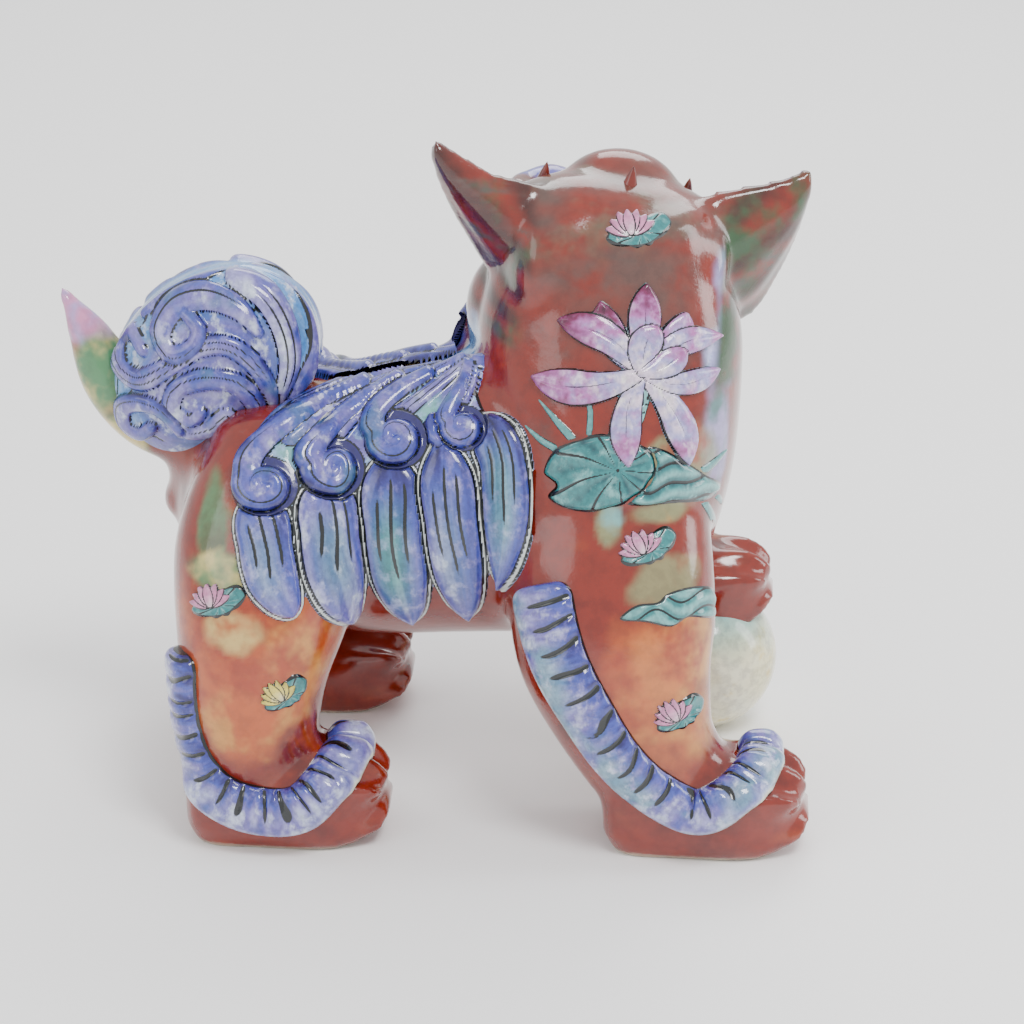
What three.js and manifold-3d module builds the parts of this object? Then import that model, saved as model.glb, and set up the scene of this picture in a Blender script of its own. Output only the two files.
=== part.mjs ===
// A guardian lion ("foo dog") in glazed pottery, built and fired as one piece. It stands on three paws, the
// fourth holds a ball, and its head is turned to its left. Its flanks, tail, legs and neck are carved in relief.
// Millimetres. +X is the way the body faces, +Y the figure's own left, +Z up. Places are given in the figure's own
// measures, with x = 0 at the middle of the trunk. At the end the whole is set on the middle of its underside.
import * as THREE from "three";
import { mergeVertices } from "three/addons/utils/BufferGeometryUtils.js";
import Module from "manifold-3d";

const wasm = await Module();
wasm.setup();

// Driving dimensions
const BACK_HEIGHT = 257; // the saddle of the back above the ground
const BODY_DEPTH = 164; // back to belly
const BODY_WIDTH = 154; // flank to flank
const STANCE = 88; // from the middle plane to the middle of a paw
const PAW_LENGTH = 122;
const PAW_WIDTH = 74;
const PAW_HEIGHT = 56;
const TOES = 4;
const FORE_TOE = 224; // x of the toe tips of the standing foreleg
const HIND_TOE = -21;
const BALL_RADIUS = 46;
const BALL_MIDDLE = [160, 66, BALL_RADIUS - 2];
const RAISED_TOE = 203; // x of the toe tips of the paw on the ball
const RAISED_MIDDLE = 70; // y of its middle
const RAISED_SOLE = 72; // how high its sole lies
const RAISED_SIZE = 0.82; // as a share of the standing paws
const HEAD_MIDDLE = [101, 6, 316];
const HEAD_YAW = 13; // degrees past a square turn to the left
const HEAD_ROLL = 10; // degrees, left ear up
const HEAD_PITCH = 6; // degrees, nose up
const EAR_THICK = 9;
const TAIL_MIDDLE = [-130, 0, 260];
const TAIL_RADII = [69, 38, 53]; // along its slope, across the figure, and square to both
const TAIL_SLOPE = 43; // degrees above the ground, rising to the front
const CURL_HALF = 6.5; // half width of a carved scroll
const CURL_LIFT = 7; // how far a scroll stands proud
const FEATHER_LIFT = 8;
const FRILL_LIFT = 10;
const FRILL_GROOVE = 0.78; // the lift in the grooves of a frill, as a share of its ribs'
const LOTUS_LIFT = 4;
// How the places of a carving are given: on a plane so far out from the middle, seen from so many degrees above.
const SIDE_ON = { above: 0, plane: 0 };
const FLANK = { above: 24, plane: 76 };
const SUNK = 6; // how deep a carved ridge runs on under the skin
const LEAP = 48; // a step of a ridge longer than this has missed the skin that it belongs to
const SHORTEST_EDGE = 1.2;

const RIGHT = -1; // the side of the figure, as the sign of Y
const LEFT = 1;
const DEG = Math.PI / 180;
const AXIS_X = new THREE.Vector3(1, 0, 0);
const AXIS_Y = new THREE.Vector3(0, 1, 0);

const clamp = (value, low, high) => Math.min(Math.max(value, low), high);

// Rows of numbers joined by a smooth curve, at u from 0 to 1.
function alongRows(rows, u) {
  const last = rows.length - 1;
  const k = Math.min(Math.floor(u * last), last - 1);
  const t = u * last - k;
  const row = (i) => rows[clamp(i, 0, last)];
  return rows[0].map((_, j) => {
    const [a, b, c, d] = [row(k - 1)[j], row(k)[j], row(k + 1)[j], row(k + 2)[j]];
    return b + 0.5 * t * (c - a + t * (2 * a - 5 * b + 4 * c - d + t * (3 * (b - c) + d - a)));
  });
}

const middleOf = (ring) => ring.reduce((sum, p) => sum.add(p), new THREE.Vector3()).divideScalar(ring.length);

// A closed skin over rings that hold the same number of points, between two end points.
function closedSkin(first, rings, final) {
  const sides = rings[0].length;
  const points = [first, ...rings.flat(), final];
  const index = [];
  const at = (ring, k) => 1 + ring * sides + (k % sides);
  for (let k = 0; k < sides; k++) {
    index.push(0, at(0, k + 1), at(0, k));
    index.push(points.length - 1, at(rings.length - 1, k), at(rings.length - 1, k + 1));
    for (let ring = 0; ring < rings.length - 1; ring++) {
      index.push(at(ring, k), at(ring, k + 1), at(ring + 1, k));
      index.push(at(ring, k + 1), at(ring + 1, k + 1), at(ring + 1, k));
    }
  }
  const made = new THREE.BufferGeometry().setFromPoints(points);
  made.setIndex(index);
  return made;
}

// A swelling tube through rows of [x, y, z, half width, half depth] with domed ends. The half width lies along
// "side" as nearly as the tube's own direction allows, and the half depth across both.
function limb(rows, side, domes, rings = 6, sides = 10) {
  const DOME_RINGS = 2;
  const dome = (k) => {
    const angle = (k / DOME_RINGS) * 90 * DEG;
    return { out: Math.sin(angle), shrink: Math.cos(angle) };
  };
  const stations = [];
  for (let k = DOME_RINGS - 1; k > 0; k--) stations.push([0, -domes[0] * dome(k).out, dome(k).shrink]);
  for (let k = 0; k <= rings; k++) stations.push([k / rings, 0, 1]);
  for (let k = 1; k < DOME_RINGS; k++) stations.push([1, domes[1] * dome(k).out, dome(k).shrink]);
  const frameAt = (u) => {
    const step = 1e-3;
    const here = alongRows(rows, u);
    const ahead = new THREE.Vector3(...alongRows(rows, Math.min(u + step, 1)));
    const along = ahead.sub(new THREE.Vector3(...alongRows(rows, Math.max(u - step, 0)))).normalize();
    const wide = side.clone().addScaledVector(along, -side.dot(along)).normalize();
    const deep = along.clone().cross(wide);
    return { centre: new THREE.Vector3(...here), along, wide, deep, halfWidth: here[3], halfDepth: here[4] };
  };
  const ringAt = ([u, out, shrink]) => {
    const f = frameAt(u);
    const centre = f.centre.clone().addScaledVector(f.along, out);
    return Array.from({ length: sides }, (_, k) => {
      const angle = (k / sides) * 360 * DEG;
      return centre
        .clone()
        .addScaledVector(f.wide, shrink * f.halfWidth * Math.cos(angle))
        .addScaledVector(f.deep, shrink * f.halfDepth * Math.sin(angle));
    });
  };
  const tip = (u, out) => {
    const f = frameAt(u);
    return f.centre.addScaledVector(f.along, out);
  };
  return closedSkin(tip(0, -domes[0]), stations.map(ringAt), tip(1, domes[1]));
}

function ellipsoid(centre, radii, columns = 7, rows = 4) {
  const ball = new THREE.SphereGeometry(1, columns, rows).rotateX(90 * DEG);
  return ball.scale(...radii).translate(...centre);
}

function solid(geometry) {
  const bare = geometry.index ? geometry.toNonIndexed() : geometry.clone();
  bare.deleteAttribute("normal");
  bare.deleteAttribute("uv");
  const merged = mergeVertices(bare, 1e-3);
  const vertProperties = merged.attributes.position.array;
  const triVerts = new Uint32Array(merged.index.array);
  return new wasm.Manifold(new wasm.Mesh({ numProp: 3, vertProperties, triVerts }));
}

const joined = (solids) => solids.reduce((all, one) => all.add(one));

function geometryOf(made) {
  const mesh = made.getMesh();
  return new THREE.BufferGeometry()
    .setAttribute("position", new THREE.BufferAttribute(mesh.vertProperties, 3))
    .setIndex(new THREE.BufferAttribute(mesh.triVerts, 1));
}

// The trunk, from the rump to the chest.
function trunk() {
  const middle = BACK_HEIGHT - BODY_DEPTH / 2;
  const [wide, deep] = [BODY_WIDTH / 2, BODY_DEPTH / 2];
  const rows = [
    [-124, 0, middle + 6, wide * 0.72, deep * 0.66],
    [-90, 0, middle + 1, wide * 0.93, deep * 0.86],
    [-40, 0, middle - 3, wide, deep * 0.95],
    [10, 0, middle + 3, wide, deep * 1.02],
    [60, 0, middle + 10, wide * 1.02, deep * 1.08],
    [105, 0, middle + 14, wide * 0.98, deep * 1.08],
  ];
  return limb(rows, AXIS_Y, [30, 42], 6, 14);
}

// The neck rises out of the chest as one broad column with the shoulder.
function neck() {
  const rows = [
    [110, -2, 135, 48, 64],
    [108, -3, 165, 59, 82],
    [106, -3, 205, 70, 87],
    [103, 0, 245, 76, 80],
    [101, 4, 285, 77, 67],
    [100, 7, 322, 68, 56],
    [99, 7, 350, 60, 47],
  ];
  return limb(rows, AXIS_X, [24, 18], 7, 14);
}

// Rows given for the left side, set on the side given.
const onSide = (rows, side) => rows.map(([x, y, ...rest]) => [x, y * side, ...rest]);

function foreleg(side) {
  const rows = [
    [106, 40, 215, 52, 36],
    [105, 56, 180, 58, 42],
    [106, 70, 150, 60, 45],
    [109, 80, 118, 58, 43],
    [117, 86, 88, 50, 39],
    [128, 89, 60, 42, 35],
    [142, 89, 38, 38, 31],
  ];
  return limb(onSide(rows, side), AXIS_X, [20, 15]);
}

function hindLeg(side) {
  const rows = [
    [-88, 32, 225, 40, 30],
    [-90, 46, 197, 50, 38],
    [-94, 60, 165, 55, 45],
    [-98, 73, 132, 51, 47],
    [-102, 81, 100, 44, 45],
    [-103, 86, 68, 39, 40],
    [-100, 88, 42, 35, 33],
  ];
  return limb(onSide(rows, side), AXIS_X, [20, 15]);
}

// The raised foreleg bends forward over the ball.
function raisedForeleg() {
  const rows = [
    [104, 40, 200, 40, 46],
    [99, 70, 162, 38, 42],
    [112, 83, 132, 33, 34],
    [142, 78, 112, 27, 27],
  ];
  return limb(rows, AXIS_Y, [20, 15], 4, 10);
}

// A paw along +X whose toe tips are at tipX, on a sole at the height given. Grooves cut its front into toes.
function paw(tipX, y, sole, size = 1) {
  const [long, wide, tall] = [PAW_LENGTH * size, PAW_WIDTH * size, PAW_HEIGHT * size];
  const ARCH_POINTS = 4 * TOES;
  // Rows: how far behind the tips, half width, height, depth of the grooves, and height of the underside.
  const rows = [
    [long * 0.99, wide * 0.24, tall * 0.66, 0, tall * 0.2],
    [long * 0.91, wide * 0.42, tall * 0.86, 0, -2],
    [long * 0.6, wide * 0.49, tall * 0.98, 0, -2],
    [long * 0.34, wide * 0.51, tall * 1.04, 0.1, -2],
    [long * 0.17, wide * 0.47, tall * 1.02, 0.2, tall * 0.03],
    [long * 0.05, wide * 0.4, tall * 0.88, 0.26, tall * 0.2],
    [0, wide * 0.28, tall * 0.7, 0.26, tall * 0.36],
  ];
  const rings = rows.map(([back, half, height, groove, low]) => {
    const arch = [];
    for (let k = 0; k <= ARCH_POINTS; k++) {
      const share = k / ARCH_POINTS;
      const lobe = 1 - groove * Math.abs(Math.cos(share * TOES * 180 * DEG)) ** 3;
      const angle = share * 180 * DEG;
      const up = low + (height - low) * (0.35 + 0.65 * Math.sin(angle) ** 0.6) * lobe;
      const setBack = groove ? long * (0.25 * (1 - lobe) + 0.06 * (2 * share - 1) ** 2) : 0;
      const across = half * Math.cos(angle) * (0.9 + 0.1 * lobe);
      arch.push(new THREE.Vector3(tipX - back - setBack, y - across, sole + up));
    }
    const under = [0.8, -0.8].map((a) => new THREE.Vector3(tipX - back, y + a * half, sole + low));
    return [...arch, ...under].reverse();
  });
  return solid(closedSkin(middleOf(rings[0]), rings, middleOf(rings[rings.length - 1])));
}

// The tail is a fat plume on a short stalk, and ends in a leaf that turns up and back.
function tail() {
  const plume = new THREE.SphereGeometry(1, 14, 8)
    .rotateX(90 * DEG)
    .scale(...TAIL_RADII)
    .rotateY(-TAIL_SLOPE * DEG)
    .translate(...TAIL_MIDDLE);
  const leaf = [
    [-140, 0, 212, 20, 24],
    [-172, 0, 222, 17, 19],
    [-191, 0, 246, 18, 15],
    [-203, 0, 274, 13, 11],
    [-215, 0, 297, 4, 6],
  ];
  const stalk = [
    [-118, 0, 170, 36, 30],
    [-134, 0, 192, 26, 24],
    [-132, 0, 222, 24, 24],
  ];
  return joined([
    solid(plume),
    solid(limb(leaf, AXIS_X, [12, 8], 5, 8)),
    solid(limb(stalk, AXIS_X, [14, 14], 2, 8)),
    solid(ellipsoid([-148, 0, 174], [15, 22, 14])),
  ]);
}

// The head's own frame: x to its right, y the way it looks, z up.
const headPlace = new THREE.Matrix4()
  .makeTranslation(...HEAD_MIDDLE)
  .multiply(new THREE.Matrix4().makeRotationZ(HEAD_YAW * DEG))
  .multiply(new THREE.Matrix4().makeRotationY(HEAD_ROLL * DEG))
  .multiply(new THREE.Matrix4().makeRotationX(HEAD_PITCH * DEG));
const onHead = (geometry) => solid(geometry.applyMatrix4(headPlace));
const bothSides = (make) => [make(RIGHT), make(LEFT)];

function skull() {
  const barrel = [
    [-50, 4, 6, 44, 42],
    [-22, 4, 8, 50, 50],
    [22, 4, 8, 50, 50],
    [50, 4, 6, 44, 42],
  ];
  return joined([
    onHead(limb(barrel, AXIS_Y, [16, 16], 2, 12)),
    onHead(ellipsoid([3, 26, 36], [38, 28, 31], 10, 7)),
    ...bothSides((side) => onHead(ellipsoid([side * 39, 24, -37], [35, 40, 38], 10, 7))),
  ]);
}

// The muzzle, nose and chin, the eyes under their brows, and the teeth shut in a broad grin.
function face() {
  const brow = (side) => [
    [side * 6, 66, 16, 8, 7],
    [side * 24, 72, 26, 10, 8],
    [side * 44, 62, 24, 9, 8],
    [side * 54, 46, 28, 6, 6],
  ];
  return joined([
    onHead(ellipsoid([0, 62, -14], [46, 38, 25], 10, 6)),
    onHead(ellipsoid([0, 96, -3], [22, 13, 13])),
    onHead(ellipsoid([0, 64, -50], [39, 31, 21], 10, 5)),
    ...bothSides((side) => onHead(ellipsoid([side * 26, 66, 11], [14, 13, 13]))),
    ...bothSides((side) => onHead(limb(brow(side), AXIS_Y, [6, 5], 3, 6))),
  ]);
}

// Locks of the beard and of the mane at the jaw, each a plump drop with its tip down.
function beard() {
  const lock = (angle) => {
    const [across, out] = [Math.sin(angle * DEG), Math.cos(angle * DEG)];
    return [
      [58 * across, 26 + 40 * out, -56, 14, 12],
      [58 * across, 26 + 46 * out, -76, 13, 12],
      [54 * across, 26 + 44 * out, -96, 6, 6],
    ];
  };
  return joined([-76, -38, 0, 38, 76].map((angle) => onHead(limb(lock(angle), AXIS_X, [8, 6], 2, 6))));
}

// An ear is a pointed cup, open to the front. Rows: its upper and its lower edge, as x and z on the head, the depth
// of the cup, and how far the lower edge lies in front of the upper one.
function ear(side, rows) {
  const ARC = 5; // steps across the cup
  const ringAt = (u) => {
    const [topX, topZ, lowX, lowZ, cup, lean] = alongRows(rows, u);
    const point = (t, thick) => {
      const forward = thick - cup * Math.sin(t * 180 * DEG) + lean * (t - 0.3);
      return new THREE.Vector3(topX + (lowX - topX) * t, forward, topZ + (lowZ - topZ) * t);
    };
    const back = Array.from({ length: ARC + 1 }, (_, k) => point(k / ARC, 0));
    const front = Array.from({ length: ARC - 1 }, (_, k) => point(1 - (k + 1) / ARC, EAR_THICK));
    return side === LEFT ? [...back, ...front].reverse() : [...back, ...front];
  };
  const RINGS = 6;
  const rings = Array.from({ length: RINGS }, (_, k) => ringAt(k / (RINGS - 1)));
  return onHead(closedSkin(middleOf(rings[0]), rings, middleOf(rings[RINGS - 1])));
}

const LEFT_EAR = [
  [-34, 48, -30, -24, 20, 8],
  [-62, 53, -60, -18, 19, 14],
  [-82, 56, -88, 13, 14, 14],
  [-101, 64, -107, 40, 9, 8],
  [-117, 71, -117, 60, 3, 2],
];
const RIGHT_EAR = [
  [34, 48, 66, -36, 20, 8],
  [54, 59, 92, -18, 19, 10],
  [74, 66, 102, 8, 15, 10],
  [93, 73, 107, 38, 9, 6],
  [104, 80, 108, 66, 3, 2],
];

// Three short horns stand up behind the forehead.
function horns() {
  const places = [
    [0, 0, 53, 17],
    [-43, 30, 36, 18],
    [43, 30, 36, 18],
  ];
  return joined(
    places.map(([x, y, z, tall]) => {
      const cone = new THREE.ConeGeometry(6, tall + SUNK, 6);
      return onHead(cone.rotateX(90 * DEG).translate(x, y, z + (tall - SUNK) / 2));
    }),
  );
}

const plainFigure = joined([
  solid(trunk()),
  solid(neck()),
  solid(foreleg(RIGHT)),
  solid(hindLeg(RIGHT)),
  solid(hindLeg(LEFT)),
  solid(raisedForeleg()),
  paw(FORE_TOE, RIGHT * STANCE, 0),
  paw(HIND_TOE, RIGHT * STANCE, 0),
  paw(HIND_TOE, LEFT * STANCE, 0),
  paw(RAISED_TOE, RAISED_MIDDLE, RAISED_SOLE, RAISED_SIZE),
  solid(ellipsoid(BALL_MIDDLE, [BALL_RADIUS, BALL_RADIUS, BALL_RADIUS], 12, 8)),
  tail(),
  skull(),
]);

// Carving. A place on the skin is found along a straight line from outside.
const skin = new THREE.Mesh(geometryOf(plainFigure), new THREE.MeshBasicMaterial({ side: THREE.DoubleSide }));
const finder = new THREE.Raycaster();

function onSkin(target, outward) {
  const REACH = 400;
  finder.set(target.clone().addScaledVector(outward, REACH), outward.clone().negate());
  const hit = finder.intersectObject(skin)[0];
  return hit ? { point: hit.point, normal: hit.face.normal.clone() } : null;
}

// A ridge along rows of [x, z] and, where the line doesn't come straight from the side, the degrees that it comes
// from above and from behind. "shape" gives the half width and the lift at u from 0 to 1.
function ridge(rows, side, steps, shape, depthPlane = 0) {
  const full = rows.map(([x, z, above = 0, behind = 0]) => [x, z, above, behind]);
  const found = [];
  for (let k = 0; k <= steps; k++) {
    const u = k / steps;
    const [x, z, above, behind] = alongRows(full, u);
    const level = Math.cos(above * DEG);
    const outward = new THREE.Vector3(
      -Math.sin(behind * DEG) * level,
      side * Math.cos(behind * DEG) * level,
      Math.sin(above * DEG),
    );
    const place = onSkin(new THREE.Vector3(x, side * depthPlane, z), outward);
    const before = found.length ? found[found.length - 1].point : place?.point;
    if (place && place.point.distanceTo(before) < LEAP) found.push({ u, ...place });
  }
  const near = (k) => found[clamp(k, 0, found.length - 1)];
  const ringAt = ({ u, point }, k) => {
    const along = near(k + 1).point.clone().sub(near(k - 1).point).normalize();
    const normal = new THREE.Vector3();
    for (let j = -2; j <= 2; j++) normal.add(near(k + j).normal);
    normal.addScaledVector(along, -normal.dot(along)).normalize();
    const across = normal.clone().cross(along);
    const [half, lift, flat = true] = shape(u);
    const put = (a, b) => point.clone().addScaledVector(across, half * a).addScaledVector(normal, b);
    const crown = flat ? [put(0.55, lift), put(-0.55, lift)] : [put(0, lift)];
    return [put(1, -1), ...crown, put(-1, -1), put(0, -SUNK)];
  };
  const rings = found.map(ringAt);
  return solid(closedSkin(middleOf(rings[0]), rings, middleOf(rings[rings.length - 1])));
}

// Half widths along a ridge.
const roundEnds = (u, share = 0.12) => Math.sqrt(1 - (1 - clamp(Math.min(u, 1 - u) / share, 0.12, 1)) ** 2);
const taper = (u) => 0.45 + 0.55 * Math.sin(clamp(u * 1.4, 0, 1) * 90 * DEG);
const scrollShape = (size = 1) => (u) => [size * CURL_HALF * taper(u), size * CURL_LIFT * taper(u), false];
const featherShape = (half) => (u) => {
  const point = u < 0.72 ? 1 : Math.max(1 - ((u - 0.72) / 0.28) ** 1.6, 0.06);
  return [half * point * (0.82 + 0.18 * Math.sin(u * 180 * DEG)), FEATHER_LIFT * (0.55 + 0.45 * point)];
};

// A scroll: a raised stalk that bends into most of a ring about a knob. "start" is the angle in degrees where the
// ring begins, and "sense" is 1 where it runs anticlockwise, seen from the figure's right.
function scroll(side, stalk, middle, radius, start, { sense = 1, size = 1, view = SIDE_ON } = {}) {
  const RING = 255; // degrees
  const STOPS = 4;
  const ring = Array.from({ length: STOPS + 1 }, (_, k) => {
    const angle = (start + (sense * RING * k) / STOPS) * DEG;
    return [middle[0] + radius * Math.cos(angle), middle[1] + radius * Math.sin(angle)];
  });
  const rows = [...stalk, ...ring].map(([x, z]) => [x, z, view.above]);
  const stroke = ridge(rows, side, rows.length, scrollShape(size), view.plane);
  return joined([stroke, knob(middle, side, radius * 0.62, view)]);
}

function knob([x, z], side, radius, view) {
  const outward = new THREE.Vector3(0, side * Math.cos(view.above * DEG), Math.sin(view.above * DEG));
  const place = onSkin(new THREE.Vector3(x, side * view.plane, z), outward);
  const middle = place.point.addScaledVector(place.normal, CURL_LIFT * 0.5);
  return solid(new THREE.IcosahedronGeometry(radius * 1.1).translate(...middle));
}

function wing(side) {
  const feathers = [
    [[[-94, 200], [-91, 171], [-86, 148], [-78, 132]], 16],
    [[[-57, 212], [-55, 182], [-51, 155], [-47, 132]], 19],
    [[[-21, 227], [-18, 187], [-15, 158], [-10, 136]], 20],
    [[[10, 236], [14, 192], [17, 162], [21, 139]], 17],
    [[[32, 254], [41, 230], [43, 197], [47, 155]], 15],
  ];
  const seen = (rows) => rows.map(([x, z]) => [x, z, FLANK.above]);
  return [
    ...feathers.map(([rows, half]) => ridge(seen(rows), side, 4, featherShape(half), FLANK.plane)),
    scroll(side, [[-36, 278], [-64, 265], [-87, 246]], [-93, 214], 10, 125, { view: FLANK }),
    scroll(side, [[-18, 281], [-47, 259], [-66, 243]], [-56, 225], 11.5, 150, { view: FLANK }),
    scroll(side, [[-2, 284], [-19, 274], [-32, 258]], [-19, 244], 10.5, 160, { view: FLANK }),
    scroll(side, [[24, 292], [18, 278], [11, 264]], [20, 252], 8, 165, { view: FLANK, size: 0.85 }),
    knob([3, 249], side, 8, FLANK),
  ];
}

function plumeScrolls(side) {
  const rim = [[-78, 262], [-74, 284], [-86, 305], [-110, 316], [-134, 311], [-156, 296]];
  return [
    ridge(rim, side, 7, (u) => [9 * roundEnds(u, 0.2), 4]),
    scroll(side, [[-88, 266], [-92, 281], [-101, 296], [-118, 305], [-138, 303]], [-144, 289], 8.5, 110),
    scroll(side, [[-94, 262], [-106, 275], [-121, 280], [-138, 275], [-154, 264]], [-172, 266], 8, -60, {
      sense: -1,
    }),
    scroll(side, [[-103, 252], [-115, 262], [-131, 262]], [-140, 248], 9, 100),
    scroll(side, [[-138, 228], [-150, 238]], [-167, 232], 8, 60),
    ridge([[-116, 243], [-122, 233], [-134, 227]], side, 4, scrollShape(0.7)),
  ];
}

// A frill is a pleated band down the back of a leg and over its paw.
function frill(rows, side, ribs, startHalf, endHalf) {
  const shape = (u) => {
    const half = startHalf + (endHalf - startHalf) * clamp(u * 1.8, 0, 1);
    const groove = Math.round(u * 2 * ribs) % 2 === 1;
    const [wide, proud] = groove ? [0.94, FRILL_GROOVE] : [1, 1];
    return [half * roundEnds(u, 0.1) * wide, FRILL_LIFT * roundEnds(u, 0.06) * proud];
  };
  return ridge(rows, side, 2 * ribs, shape, STANCE);
}

const FORE_FRILL = [
  [72, 168, 0, 10],
  [77, 143, 0, 10],
  [86, 118, 0, 5],
  [98, 92],
  [113, 67],
  [134, 45],
  [160, 33],
  [181, 34, 20],
  [192, 32, 50],
  [195, 30, 90],
  [192, 30, 125],
];
const HIND_FRILL = [
  [-112, 122, 0, 68],
  [-114, 98, 0, 64],
  [-116, 72, 0, 54],
  [-113, 46, 0, 34],
  [-100, 30, 0, 10],
  [-78, 29],
  [-60, 32, 15],
  [-49, 32, 50],
  [-46, 30, 90],
  [-49, 30, 125],
];

// A lotus over its round leaf and the water, as low pads. "reach" is the length of the longest petal.
function lotus(x, z, reach) {
  const petalAngles = [178, 144, 112, 80, 48, 14, -58, -100];
  return petalAngles.map((angle, k) => {
    const long = reach * (k % 2 ? 0.86 : 1);
    const at = (share) => [x + long * share * Math.cos(angle * DEG), z + long * share * Math.sin(angle * DEG)];
    const shape = (u) => [reach * 0.2 * Math.sin(clamp(0.12 + u * 0.88, 0, 0.97) * 180 * DEG), LOTUS_LIFT, false];
    return ridge([at(0.06), at(0.5), at(1)], RIGHT, 3, shape);
  });
}

function pad(x, z, halfLong, halfTall) {
  const shape = (u) => [halfTall * roundEnds(u, 0.5), LOTUS_LIFT];
  return ridge([[x - halfLong, z], [x, z], [x + halfLong, z]], RIGHT, 3, shape);
}

const carving = [
  ...bothSides(wing).flat(),
  ...bothSides(plumeScrolls).flat(),
  frill(FORE_FRILL, RIGHT, 8, 21, 14),
  ...bothSides((side) => frill(HIND_FRILL, side, 7, 16, 15)),
  ...lotus(121, 290, 50),
  pad(90, 230, 27, 21),
  pad(133, 230, 22, 13),
];

// The skin without the tiny pockets that carving and body shut in between them.
function withoutPockets(geometry) {
  const { position } = geometry.attributes;
  const index = geometry.index.array;
  const leader = Array.from({ length: position.count }, (_, k) => k);
  const leaderOf = (k) => {
    while (leader[k] !== k) k = leader[k];
    return k;
  };
  for (let k = 0; k < index.length; k++) {
    const [one, other] = [leaderOf(index[k]), leaderOf(index[k - (k % 3)])];
    leader[Math.max(one, other)] = Math.min(one, other);
  }
  const counts = new Map();
  for (const k of index) counts.set(leaderOf(k), (counts.get(leaderOf(k)) ?? 0) + 1);
  const [largest] = [...counts.entries()].sort((one, other) => other[1] - one[1])[0];
  const kept = Array.from(index).filter((k) => leaderOf(k) === largest);
  geometry.setIndex(kept);
  return mergeVertices(geometry.toNonIndexed(), 0);
}

// The same skin with its shortest edges closed up, which takes out the slivers that joining leaves. An edge stays
// where closing it would pinch the skin or turn a face over.
function withoutSlivers(geometry, shortest) {
  const { position } = geometry.attributes;
  const pointAt = (k) => new THREE.Vector3().fromBufferAttribute(position, k);
  const points = Array.from({ length: position.count }, (_, k) => pointAt(k));
  const index = Array.from(geometry.index.array);
  const faces = [];
  const facesAt = points.map(() => new Set());
  for (let k = 0; k < index.length; k += 3) faces.push(index.slice(k, k + 3));
  faces.forEach((face, f) => face.forEach((corner) => facesAt[corner].add(f)));
  const around = (corner) => {
    const corners = new Set([...facesAt[corner]].flatMap((f) => faces[f]));
    corners.delete(corner);
    return corners;
  };
  const normalOf = (face) => {
    const [a, b, c] = face.map((corner) => points[corner]);
    return b.clone().sub(a).cross(c.clone().sub(a)).normalize();
  };
  const TURN = 0.5; // the least cosine between a face's directions before and after
  const moved = (face, from, to) => face.map((corner) => (corner === from ? to : corner));
  const canClose = (from, to) => {
    const near = around(from);
    if ([...around(to)].filter((corner) => near.has(corner)).length !== 2) return false;
    const kept = [...facesAt[from]].filter((f) => !faces[f].includes(to)).map((f) => faces[f]);
    return kept.every((face) => normalOf(face).dot(normalOf(moved(face, from, to))) > TURN);
  };
  const close = (from, to) => {
    for (const f of facesAt[from]) {
      if (faces[f].includes(to)) {
        for (const corner of faces[f]) if (corner !== from) facesAt[corner].delete(f);
        faces[f] = null;
      } else {
        faces[f] = moved(faces[f], from, to);
        facesAt[to].add(f);
      }
    }
    facesAt[from].clear();
  };
  const PASSES = 3;
  for (let pass = 0; pass < PASSES; pass++) {
    for (let f = 0; f < faces.length; f++) {
      for (let k = 0; k < 3 && faces[f]; k++) {
        const [from, to] = [faces[f][k], faces[f][(k + 1) % 3]];
        if (points[from].distanceTo(points[to]) > shortest) continue;
        if (canClose(from, to)) close(from, to);
        else if (canClose(to, from)) close(to, from);
      }
    }
  }
  const used = new THREE.BufferGeometry().setAttribute("position", position);
  used.setIndex(faces.filter(Boolean).flat());
  return mergeVertices(used.toNonIndexed(), 0);
}

// Everything under the ground is cut away, which leaves flat soles.
const ground = solid(new THREE.BoxGeometry(1000, 600, 100).translate(0, 0, -50));
const head = [ear(LEFT, LEFT_EAR), ear(RIGHT, RIGHT_EAR), horns(), face(), beard()];
const figure = joined([plainFigure, ...head, ...carving]).subtract(ground);

const glaze = new THREE.MeshStandardMaterial({ color: 0x8c2f18, roughness: 0.15, metalness: 0 });
const lion = new THREE.Mesh(withoutSlivers(withoutPockets(geometryOf(figure)), SHORTEST_EDGE), glaze);
lion.name = "foo_dog";
const box = new THREE.Box3().setFromBufferAttribute(lion.geometry.attributes.position);
lion.position.set(-(box.min.x + box.max.x) / 2, -(box.min.y + box.max.y) / 2, -box.min.z);
const group = new THREE.Group();
group.add(lion);
export default group;
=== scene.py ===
# A guardian lion in painted, glossy glazed pottery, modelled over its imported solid. The figure is one firing. Its
# smooth body is one mesh, and the carved and painted parts are finer meshes that lie on it. Places are in the
# figure's own millimetres, the same rows as in the source of the solid, and metres come last, in "show".
import itertools
import math

import bpy
import numpy as np
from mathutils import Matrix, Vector
from mathutils.bvhtree import BVHTree


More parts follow.
